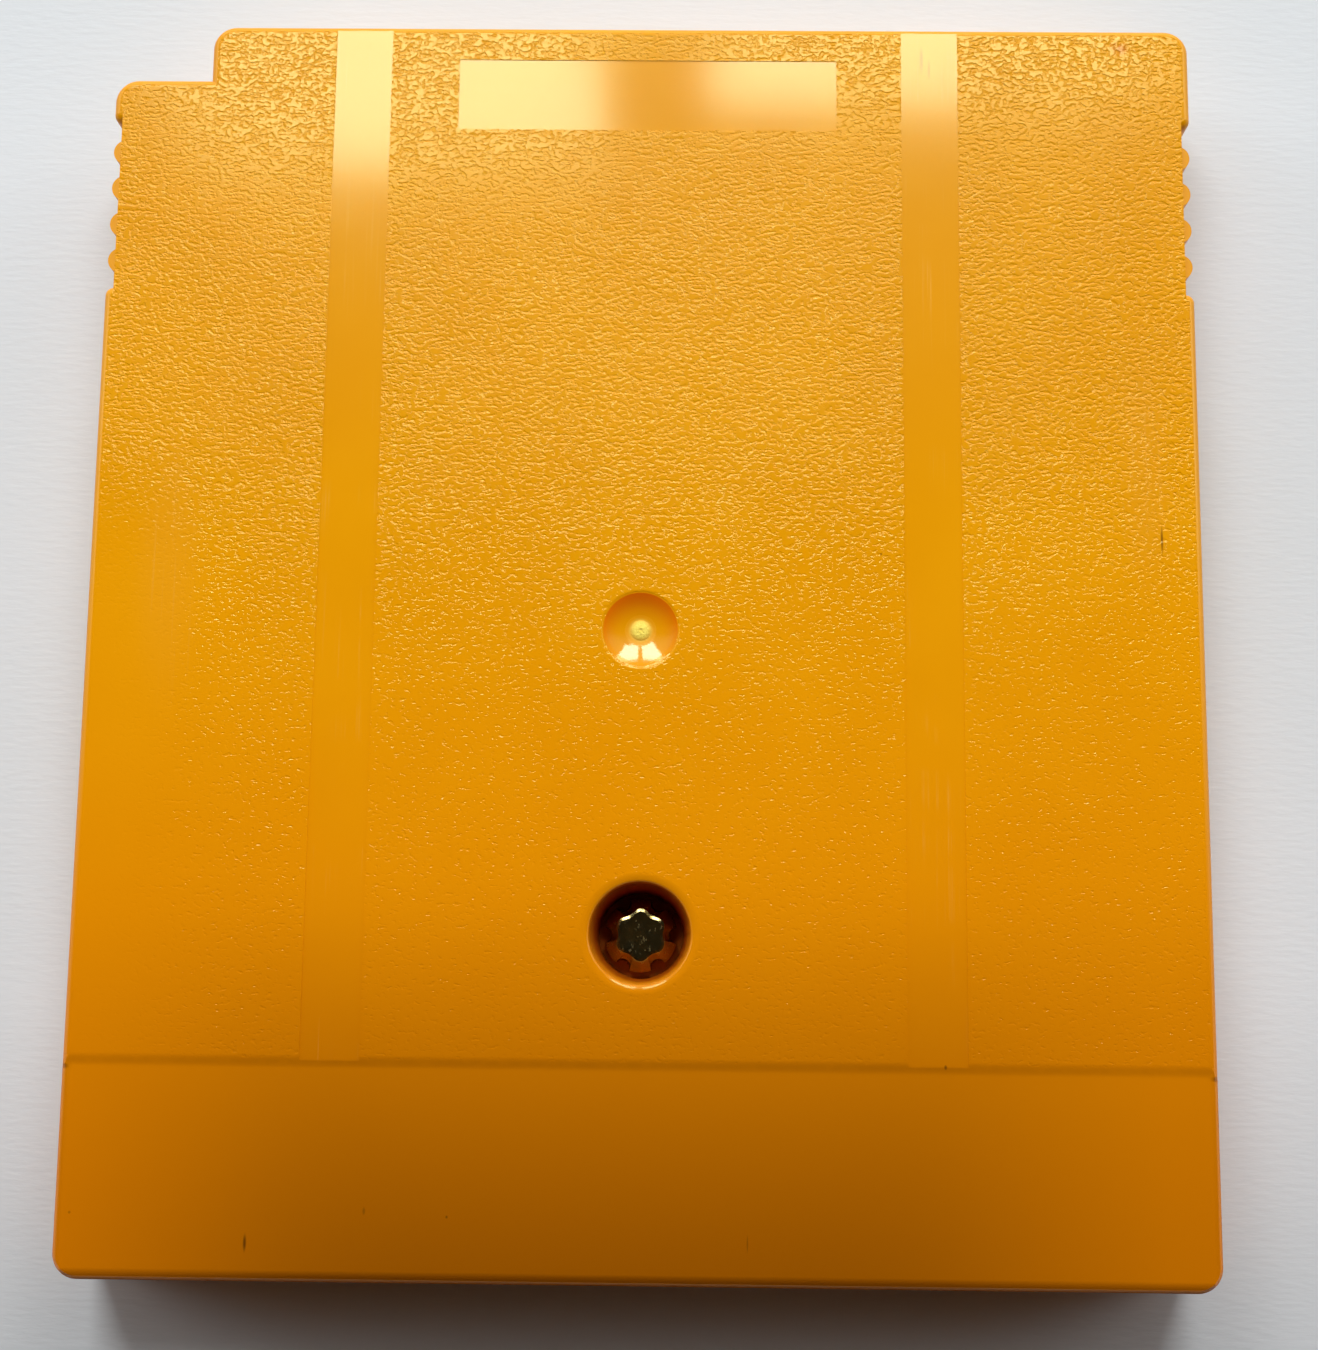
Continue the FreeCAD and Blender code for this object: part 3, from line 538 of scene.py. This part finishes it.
def edge_relief(face):
    straight_edges = (crease_relief(face) - panel_rim_relief(face)) * face.above(*UPPER_DEPTHS)
    roll = ((WELL_RIM - face.from_well) / (WELL_RIM - WELL_MOUTH)).clamped() * face.rear
    lip = ((LIP_RADIUS - face.from_dimple) / (LIP_RADIUS - DIMPLE_RADIUS)).clamped() * face.rear
    round_edges = roll * ROLL_RISE - roll * roll * ROLL_FALL - lip * lip * LIP_ROUND
    torn = face.bench.noise(face.vector, TORN_SIZE, 3.0) * face.gate
    return straight_edges + round_edges + torn * TORN_HEIGHT


print("rims round off from", round(WELL_RIM / MM, 2), "mm and", round(LIP_RADIUS / MM, 2), "mm")

# %% [markdown]
# The colour drifts a little over the face. Towards the connector end it turns redder: that is painted shade,
# for the shade that falls on that end. Light goes some way into this plastic, so shaded hollows glow redder
# than the face. A shader that scatters light inside would blur the grain, so the shaded parts of the dimple
# and the well get painted shade instead, a redder and darker colour. Dark specks, one stain, painted shade
# along the crease and dirt in the seam come last.

# %% Specks and stain on the rear face
# Middle, half width and half length of each, and strength
MARKS = (
    ((26.40 * MM, 4.75 * MM), (0.09 * MM, 0.95 * MM), 0.7),
    ((-19.05 * MM, -30.65 * MM), (0.11 * MM, 0.55 * MM), 0.75),
    ((5.43 * MM, -30.40 * MM), (0.06 * MM, 0.55 * MM), 0.35),
    ((-13.28 * MM, -29.07 * MM), (0.10 * MM, 0.25 * MM), 0.35),
    ((-9.23 * MM, -29.30 * MM), (0.08 * MM, 0.10 * MM), 0.6),
    ((15.12 * MM, -21.85 * MM), (0.10 * MM, 0.16 * MM), 0.7),
    ((12.09 * MM, 3.90 * MM), (0.09 * MM, 0.09 * MM), 0.6),
    ((-27.69 * MM, -29.30 * MM), (0.10 * MM, 0.10 * MM), 0.4),
    ((14.35 * MM, 30.70 * MM), (0.14 * MM, 1.00 * MM), 0.35),
    ((14.75 * MM, 30.20 * MM), (0.10 * MM, 0.80 * MM), 0.25),
)
STAIN = ((24.8 * MM, 31.4 * MM), (0.65 * MM, 0.55 * MM))
print(len(MARKS), "marks and a stain")


# %% Colours of the plastic, with painted shade
# The painted shade that reddens the connector end fades out at this y
END_SHADE_REACH = 8 * MM
# The dimple's lit floor, which gets no painted shade: how far it lies towards the connector end, and its
# radius
LIT_FLOOR_SHIFT = 0.6 * MM
LIT_FLOOR_RADIUS = 2.6 * MM
WELL_SOFT = 0.05 * MM
WELL_SHADE = 2.5 * MM
# The well's painted shade starts above the outside of the front, and deepens between depths under the main
# face
WELL_FOOT = (0.6 * MM, 1.0 * MM)
SUNK_DEPTHS = (0.8 * MM, 0.1 * MM)
DEEP_DEPTHS = (2.3 * MM, 0.9 * MM)
SOIL_SIZE = 0.7 * MM
# Painted shade along the crease fades out between these distances from its middle
CREASE_SHADE = (0.03 * MM, 0.25 * MM)
SEAM_DIRT = (0.02 * MM, 0.13 * MM)


def plastic_and_end_shade_colour(face, cloud, rub, scratch):
    bench = face.bench
    colour = bench.mix(bench.ramp(cloud, 0.3, 0.7), srgb(225, 148, 2), srgb(229, 153, 4))
    # Painted shade: redder towards the connector end, where shade falls on the face
    end_shade_tint = 1 - bench.ramp(face.y, rear_low.y, END_SHADE_REACH)
    colour = bench.mix(end_shade_tint, colour, srgb(222, 126, 2))
    colour = bench.mix(scratch * 0.14, colour, srgb(244, 190, 96))
    return bench.mix(rub.least(1.0) * 0.12, colour, srgb(222, 150, 50))


def hollow_shade_and_gate(face, colour):
    bench = face.bench
    # Painted shade: the dimple is redder all round, except on its lit floor
    lit_middle = (DIMPLE[0], DIMPLE[1] - LIT_FLOOR_SHIFT)
    lit_floor = bench.spot(face.x, face.y, lit_middle, (LIT_FLOOR_RADIUS, LIT_FLOOR_RADIUS), 0.6)
    colour = bench.mix(face.hollow * (1 - lit_floor) * 0.9, colour, srgb(216, 92, 4))
    # Painted shade: the well is darker red on its upper wall, and redder still deep down
    well = 1 - bench.ramp(face.from_well, WELL_MOUTH - WELL_SOFT, WELL_MOUTH + WELL_SOFT)
    well = well * bench.ramp(face.z, *WELL_FOOT)
    shaded = bench.ramp(face.y, WELL[1] - WELL_SHADE, WELL[1] + WELL_SHADE)
    sunk = 1 - face.above(*SUNK_DEPTHS)
    colour = bench.mix(well * sunk * shaded * 0.7, colour, srgb(128, 34, 4))
    deep = 1 - face.above(*DEEP_DEPTHS)
    colour = bench.mix(well * deep * 0.65, colour, srgb(158, 46, 4))
    return bench.mix(face.gate * 0.9, colour, srgb(246, 222, 96))


def soiled_and_shaded_colour(face, colour):
    bench = face.bench
    soil = bench.noise(face.vector, SOIL_SIZE, 3.0)
    # Painted shade along the crease, in patches
    crease = 1 - bench.ramp(abs(face.y - CREASE_Y - CREASE_WIDTH / 2), *CREASE_SHADE)
    crease = crease * face.rear * bench.ramp(soil, 0.2, 0.6)
    colour = bench.mix(crease * 0.1, colour, srgb(150, 70, 6))
    seam = 1 - bench.ramp(abs(face.z - SEAM_LEVEL), *SEAM_DIRT)
    colour = bench.mix(seam * bench.ramp(soil, 0.3, 0.7) * 0.5, colour, srgb(120, 62, 6))
    for centre, half, strength in MARKS:
        colour = bench.mix(face.spot(centre, half, 0.8) * strength, colour, srgb(84, 38, 8))
    stain = face.spot(*STAIN, 0.9) * bench.ramp(soil, 0.25, 0.55)
    return bench.mix(stain * 0.8, colour, srgb(200, 84, 4))


# %% [markdown]
# Grained and smooth areas share one roughness, but the smooth ones mirror the window more clearly, so they
# get a thin coat on top. One rougher value for the grain would do it too, but then its pits would lose their
# glints. The dimple mirrors the panes only in a ring. The stub in it, the outer edges and the sides stay
# matte. The tint of the sheen was set by the tones of the photograph.

# %% Gloss and the whole finish
MIRROR_INNER = 0.86 * MM
MIRROR_OUTER = 1.66 * MM
MIRROR_SOFT = 0.1 * MM
CLOUD_SIZE = 9 * MM
RIPPLE_SIZE = 4 * MM
RIPPLE_HEIGHT = 0.004 * MM
SHEEN_COLOUR = (0.85, 1.0, 0.46, 1.0)


def gloss(face, cloud, scratch):
    """Roughness, and the weight of the coat."""
    bench = face.bench
    polished = bench.ramp(face.from_dimple, MIRROR_INNER - MIRROR_SOFT, MIRROR_INNER)
    mirror = polished * (1 - bench.ramp(face.from_dimple, MIRROR_OUTER, MIRROR_OUTER + MIRROR_SOFT))
    on_sides = (1 - face.shallow) * (1 - face.hollow)
    matte = on_sides.most(face.hollow * (1 - polished) * 0.8).most(face.gate)
    smooth = (1 - face.grained) * (1 - face.hollow) * face.shallow
    coat = (smooth * 0.11).most(face.hollow * mirror * 0.3)
    return 0.09 + scratch * 0.1 + cloud * 0.03 + matte * 0.3, coat


def case_finish():
    bench = new_finish("case_plastic")
    face = Face(bench)
    rub = rub_mask(face)
    scratch = scratch_mask(face, rub)
    cloud = bench.noise(face.vector, CLOUD_SIZE, 3.0)
    ripple = bench.noise(face.vector, RIPPLE_SIZE) * RIPPLE_HEIGHT
    height = grain_relief(face, rub) + edge_relief(face) + ripple - scratch * SCRATCH_DEPTH
    colour = plastic_and_end_shade_colour(face, cloud, rub, scratch)
    colour = soiled_and_shaded_colour(face, hollow_shade_and_gate(face, colour))
    roughness, coat = gloss(face, cloud, scratch)
    return finish(bench, {
        "Base Color": colour, "Roughness": roughness, "Normal": bench.bump(height),
        "Specular IOR Level": 0.36, "Specular Tint": SHEEN_COLOUR,
        "Coat Weight": coat, "Coat Roughness": 0.08, "Coat IOR": 1.8,
    })


dress(case_finish(), "rear_shell", "front_shell")

# %% [markdown]
# ## Screw
#
# A security screw holds the halves together. Its round head has six bites in the rim, and the whole edge
# slopes down from a small star-shaped top. A lathe profile can't give that, and neither can a bevel, whose
# width would fold over itself in the short lobes. So the head is a stack of rings: one circle, extruded
# level by level, where each ring is a blend from the bitten rim to the soft star on top. The thread is a
# small triangle that the spin operator carries round and down the shank at once.

# %% Sizes of the screw
screw_low, screw_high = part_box("shell_screw")
SCREW_AXIS = Vector((0.0, (screw_low.y + screw_high.y) / 2, screw_high.z))
HEAD_RADIUS = (screw_high.x - screw_low.x) / 2
HEAD_HEIGHT = 1.5 * MM
HEAD_SEGMENTS = 144
BITE_COUNT = 6
# The rim has round bites, and the star on top is a soft wave between two radii
BITE_FLOOR = 1.50 * MM
BITE_RADIUS = 0.36 * MM
BITE_CENTRE = BITE_FLOOR + BITE_RADIUS
STAR_TIP = 1.33 * MM
STAR_HOLLOW = 1.13 * MM
SHOULDER_DROP = 0.66 * MM
# Share of the way from rim to star, and share of the drop that is left, ring by ring
SHOULDER = ((0.0, 1.0), (0.06, 0.93), (0.3, 0.66), (0.6, 0.36), (0.82, 0.17), (0.94, 0.08), (1.0, 0.05))
STAR_BEVEL = 0.14 * MM
SHANK_RADIUS = 0.78 * MM
THREAD_RADIUS = 1.0 * MM
THREAD_PITCH = 0.8 * MM
THREAD_HALF = 0.2 * MM
THREAD_STEPS = 32
THREAD_SINK = 0.05 * MM
TIP_RADIUS = 0.1 * MM
SHANK_END = screw_low.z - screw_high.z


# %% Model the screw
def rim_radius(turn):
    """Radius of the rim at an angle: a circle with round bites."""
    pitch = 2 * math.pi / BITE_COUNT
    across = (turn + pitch / 2) % pitch - pitch / 2
    side = BITE_CENTRE * math.sin(across)
    if abs(side) >= BITE_RADIUS:
        return HEAD_RADIUS
    return min(HEAD_RADIUS, BITE_CENTRE * math.cos(across) - math.sqrt(BITE_RADIUS ** 2 - side ** 2))


def star_radius(turn):
    """Radius of the star at an angle: a wave with a tip between each two bites."""
    wave = 0.5 - 0.5 * math.cos(BITE_COUNT * turn)
    return STAR_HOLLOW + (STAR_TIP - STAR_HOLLOW) * wave


def set_ring(ring, share, inset, level):
    """Lay a ring on the outline at a share of the way from rim to star."""
    for vert in ring:
        turn = math.atan2(vert.co.y, vert.co.x)
        radius = rim_radius(turn) * (1 - share) + star_radius(turn) * share - inset
        vert.co = (radius * math.cos(turn), radius * math.sin(turn), level)


def head_rings():
    """Share, inset and level of each ring, from the underside of the head to its top."""
    shoulder = [(share, 0.0, -SHOULDER_DROP * drop) for share, drop in SHOULDER]
    return [(0.0, 0.0, -HEAD_HEIGHT), *shoulder, (1.0, STAR_BEVEL, 0.0)]


def screw_shape(shape):
    rings = head_rings()
    ring = bmesh.ops.create_circle(shape, segments=HEAD_SEGMENTS, radius=HEAD_RADIUS)["verts"]
    set_ring(ring, *rings[0])
    edges = shape.edges[:]
    bmesh.ops.holes_fill(shape, edges=edges, sides=HEAD_SEGMENTS)
    for outline in rings[1:]:
        made = bmesh.ops.extrude_edge_only(shape, edges=edges)["geom"]
        ring = [part for part in made if isinstance(part, bmesh.types.BMVert)]
        fresh = set(ring)
        edges = [edge for edge in shape.edges if fresh.issuperset(edge.verts)]
        set_ring(ring, *outline)
    bmesh.ops.holes_fill(shape, edges=edges, sides=HEAD_SEGMENTS)
    add_shank(shape)
    bmesh.ops.recalc_face_normals(shape, faces=shape.faces)
    bmesh.ops.translate(shape, verts=shape.verts, vec=SCREW_AXIS)


def add_shank(shape):
    tip = SHANK_END + SHANK_RADIUS
    middle = (tip - HEAD_HEIGHT) / 2
    bmesh.ops.create_cone(
        shape, cap_ends=True, segments=THREAD_STEPS, radius1=SHANK_RADIUS, radius2=SHANK_RADIUS,
        depth=-HEAD_HEIGHT - tip, matrix=Matrix.Translation((0, 0, middle)),
    )
    bmesh.ops.create_cone(
        shape, cap_ends=True, segments=THREAD_STEPS, radius1=TIP_RADIUS, radius2=SHANK_RADIUS,
        depth=SHANK_RADIUS, matrix=Matrix.Translation((0, 0, SHANK_END + SHANK_RADIUS / 2)),
    )
    turns = int((-HEAD_HEIGHT - tip - 2 * THREAD_HALF) / THREAD_PITCH)
    root = SHANK_RADIUS - THREAD_SINK
    start = tip + THREAD_HALF
    corners = ((root, -THREAD_HALF), (THREAD_RADIUS, 0.0), (root, THREAD_HALF))
    verts = [shape.verts.new((radius, 0.0, start + rise)) for radius, rise in corners]
    face = shape.faces.new(verts)
    bmesh.ops.spin(
        shape, geom=[face, *face.edges, *face.verts], cent=(0, 0, 0), axis=(0, 0, 1),
        dvec=(0, 0, THREAD_PITCH / THREAD_STEPS), angle=2 * math.pi * turns, steps=THREAD_STEPS * turns,
        use_merge=False,
    )


screw = new_piece("security_screw", screw_shape)
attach(screw, "root")
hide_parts("shell_screw")
print("screw:", len(screw.data.polygons), "faces")


# %% [markdown]
# The plating is thin yellow zinc: a metal whose colour drifts between straw, olive and a little violet,
# with dull blotches where a driver or dirt has touched it. Stamping can leave a fine raised edge round each
# bite. It is too low to model, so bump adds it.

# %% Zinc plating
BURR_WIDTH = 0.08 * MM
BURR_HEIGHT = 0.045 * MM
DRIFT_SIZE = 0.9 * MM
FLECK_SIZE = 0.13 * MM
FLECK_STRETCH = (1.0, 0.45, 1.0)
FLECK_HEIGHT = 0.006 * MM


def burr_mask(bench, x, y, turn):
    """The raised edge round one bite."""
    across = x - BITE_CENTRE * math.cos(turn) - SCREW_AXIS.x
    along = y - BITE_CENTRE * math.sin(turn) - SCREW_AXIS.y
    from_bite = (across ** 2 + along ** 2) ** 0.5
    return 1 - bench.ramp(abs(from_bite - BITE_RADIUS - BURR_WIDTH), 0.0, BURR_WIDTH)


def plating_finish():
    bench = new_finish("screw_plating")
    vector = bench.place()
    x, y = bench.axes(vector)[:2]
    drift = bench.noise(vector, DRIFT_SIZE)
    fleck = bench.noise(bench.stretched(vector, FLECK_STRETCH), FLECK_SIZE, 3.0, 0.6)
    scuff = bench.ramp(fleck, 0.56, 0.72)
    colour = bench.mix(bench.ramp(drift, 0.35, 0.65), srgb(186, 160, 92), srgb(158, 146, 96))
    colour = bench.mix(scuff * 0.3, colour, srgb(206, 194, 160))
    burr = sum(burr_mask(bench, x, y, 2 * math.pi * index / BITE_COUNT) for index in range(BITE_COUNT))
    roughness = 0.16 + scuff * 0.16
    height = fleck * FLECK_HEIGHT + burr * BURR_HEIGHT
    return finish(bench, {
        "Base Color": colour, "Metallic": 1.0, "Roughness": roughness, "Normal": bench.bump(height),
    })


screw.data.materials.append(plating_finish())
print("plating with", BITE_COUNT, "raised edges")

# %% [markdown]
# ## Label
#
# The sticker on the front is hidden in the photograph, so it is plain: coated paper with a broad field of
# colour, a band across its head and a thin pale border. Straight fields need only the point's x and y.

# %% Label print
label_low, label_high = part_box("front_label")
BORDER = 1.2 * MM
HEADER = 6.0 * MM
PRINT_SOFT = 0.04 * MM
COATING_SIZE = 0.3 * MM
COATING_HEIGHT = 0.004 * MM


def label_finish():
    bench = new_finish("label_paper")
    vector = bench.place()
    x, y = bench.axes(vector)[:2]
    edge = (x - label_low.x).least(label_high.x - x).least(y - label_low.y).least(label_high.y - y)
    printed = bench.ramp(edge, BORDER - PRINT_SOFT, BORDER + PRINT_SOFT)
    header_foot = label_high.y - HEADER
    header = bench.ramp(y, header_foot - PRINT_SOFT, header_foot + PRINT_SOFT)
    coating = bench.noise(vector, COATING_SIZE, 4.0)
    field = bench.mix(bench.ramp(y, label_low.y, label_high.y), srgb(236, 226, 196), srgb(226, 186, 92))
    colour = bench.mix(header, field, srgb(60, 92, 110))
    colour = bench.mix(printed, srgb(238, 234, 224), colour)
    colour = bench.mix(bench.ramp(coating, 0.55, 0.8) * 0.06, colour, srgb(120, 104, 80))
    normal = bench.bump(coating * COATING_HEIGHT)
    return finish(bench, {"Base Color": colour, "Roughness": 0.42 + coating * 0.1, "Normal": normal})


dress(label_finish(), "front_label")

# %% [markdown]
# ## Circuit board and its gold fingers
#
# The board is glass-fibre laminate under green solder mask. Copper runs show through the mask as paler
# lines, so evenly spaced lines, cut up by coarse cells, draw them: along the board in some cells and
# across it in others. Modelled runs would be truer, but nobody sees them in the closed case.

# %% Solder mask and copper runs
board_low, board_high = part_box("circuit_board")
RUN_PITCH = 1.27 * MM
RUN_WIDTH = 0.3 * MM
RUN_SOFT = 0.05 * MM
RUN_HEIGHT = 0.02 * MM
WEAVE_SIZE = 0.5 * MM
WEAVE_HEIGHT = 0.006 * MM
CELL = 9.0 * MM
# Distances from the board's middle level between which the bare edge turns into solder mask
MASK_START = (0.36 * MM, 0.395 * MM)


def board_finish():
    bench = new_finish("board_laminate")
    vector = bench.place()
    x, y, z = bench.axes(vector)

    def runs(axis):
        from_line = abs((axis / RUN_PITCH).fract() - 0.5) * RUN_PITCH
        return 1 - bench.ramp(from_line, RUN_WIDTH / 2, RUN_WIDTH / 2 + RUN_SOFT)

    pattern = {"Vector": vector, "Scale": 1 / CELL}
    cells = bench.node("ShaderNodeTexVoronoi", {"distance": "MANHATTAN"}, pattern, "Color")
    pick = bench.node("ShaderNodeSeparateColor", {}, {0: cells}, 0)
    lengthwise = bench.ramp(pick, 0.49, 0.51)
    copper = runs(x) * lengthwise + runs(y) * (1 - lengthwise)
    weave = bench.noise(vector, WEAVE_SIZE)
    colour = bench.mix(copper * 0.8, srgb(22, 82, 44), srgb(46, 122, 62))
    masked = bench.ramp(abs(z - (board_low.z + board_high.z) / 2), *MASK_START)
    colour = bench.mix(masked, srgb(150, 140, 84), colour)
    height = copper * RUN_HEIGHT + weave * WEAVE_HEIGHT
    return finish(bench, {
        "Base Color": colour, "Roughness": 0.3 + weave * 0.15, "Normal": bench.bump(height), "IOR": 1.5,
    })


dress(board_finish(), "circuit_board")

# %% [markdown]
# The fingers are gold on nickel. Each plugging-in leaves fine lines along them, and the gold tarnishes in
# blotches. Both are noise, and the one for the lines is drawn out far along the fingers.

# %% Gold fingers
WEAR_SIZE = 0.1 * MM
WEAR_STRETCH = (1.0, 0.02, 1.0)
WEAR_HEIGHT = 0.003 * MM
TARNISH_SIZE = 2.2 * MM


def gold_finish():
    bench = new_finish("contact_gold")
    vector = bench.place()
    wear = bench.noise(bench.stretched(vector, WEAR_STRETCH), WEAR_SIZE, 3.0)
    tarnish = bench.noise(vector, TARNISH_SIZE, 3.0)
    colour = bench.mix(bench.ramp(tarnish, 0.4, 0.75) * 0.4, srgb(236, 196, 104), srgb(196, 142, 76))
    return finish(bench, {
        "Base Color": colour, "Metallic": 1.0, "Roughness": 0.2 + wear * 0.2,
        "Normal": bench.bump(wear * WEAR_HEIGHT),
    })


dress(gold_finish(), "edge_contacts")

# %% [markdown]
# ## Chips, leads, cell and the small parts
#
# Four chips and a coin cell sit under the board. The chips' moulding compound is dark and very slightly
# rough, because it is filled with fine grains. One noise gives both the specks and their relief.

# %% Moulding compound
SPECK_SIZE = 0.18 * MM
SPECK_HEIGHT = 0.012 * MM
HAZE_SIZE = 5 * MM


def epoxy_finish():
    bench = new_finish("chip_epoxy")
    vector = bench.place()
    speck = bench.noise(vector, SPECK_SIZE, 3.0)
    haze = bench.noise(vector, HAZE_SIZE)
    colour = bench.mix(bench.ramp(speck, 0.35, 0.75), srgb(30, 30, 33), srgb(48, 48, 50))
    normal = bench.bump(speck * SPECK_HEIGHT)
    return finish(bench, {"Base Color": colour, "Roughness": 0.5 + haze * 0.2, "Normal": normal})


dress(epoxy_finish(), "rom_chip", "ram_chip", "bank_chip", "backup_chip")

# %% [markdown]
# Tinned leads are soft bright metal, the cell's can is nickel on steel with fine lines, and its strips are
# plain nickel. They differ only in their colours, their lines and their gloss, so one function makes all.

# %% Metals under the board
LINE_SIZE = 0.15 * MM
LINE_HEIGHT = 0.003 * MM
DULL_SIZE = 2.5 * MM
NO_LINES = (1.0, 1.0, 1.0)
CAN_LINES = (0.05, 1.0, 1.0)
STRIP_LINES = (0.04, 1.0, 1.0)


def metal_finish(name, bright, dull, grain, roughness):
    bench = new_finish(name)
    vector = bench.place()
    lines = bench.noise(bench.stretched(vector, grain), LINE_SIZE, 3.0)
    haze = bench.noise(vector, DULL_SIZE, 3.0)
    colour = bench.mix(bench.ramp(haze, 0.35, 0.75), bright, dull)
    return finish(bench, {
        "Base Color": colour, "Metallic": 1.0, "Roughness": roughness + lines * 0.15,
        "Normal": bench.bump(lines * LINE_HEIGHT),
    })


dress(
    metal_finish("lead_tin", srgb(206, 205, 200), srgb(176, 174, 168), NO_LINES, 0.3),
    "rom_chip_leads", "ram_chip_leads", "bank_chip_leads", "backup_chip_leads",
    "capacitor_terminals", "resistor_terminals",
)
dress(
    metal_finish("cell_steel", srgb(212, 211, 206), srgb(184, 182, 176), CAN_LINES, 0.22),
    "battery_cell",
)
dress(
    metal_finish("tab_nickel", srgb(204, 200, 190), srgb(170, 166, 156), STRIP_LINES, 0.28),
    "battery_upper_tab", "battery_lower_tab",
)

# %% [markdown]
# Capacitors are fired ceramic, tan and matte, and resistors have a dark glaze. Both are grainy when seen
# close, so one function with two tones is enough for the two.

# %% Ceramics
GRIT_SIZE = 0.12 * MM
GRIT_HEIGHT = 0.006 * MM


def ceramic_finish(name, pale, dark):
    bench = new_finish(name)
    grit = bench.noise(bench.place(), GRIT_SIZE, 3.0)
    colour = bench.mix(bench.ramp(grit, 0.35, 0.7), pale, dark)
    normal = bench.bump(grit * GRIT_HEIGHT)
    return finish(bench, {"Base Color": colour, "Roughness": 0.35 + grit * 0.2, "Normal": normal})


dress(ceramic_finish("capacitor_ceramic", srgb(186, 150, 108), srgb(160, 122, 82)), "capacitor_bodies")
dress(ceramic_finish("resistor_ceramic", srgb(34, 34, 38), srgb(50, 50, 54)), "resistor_bodies")
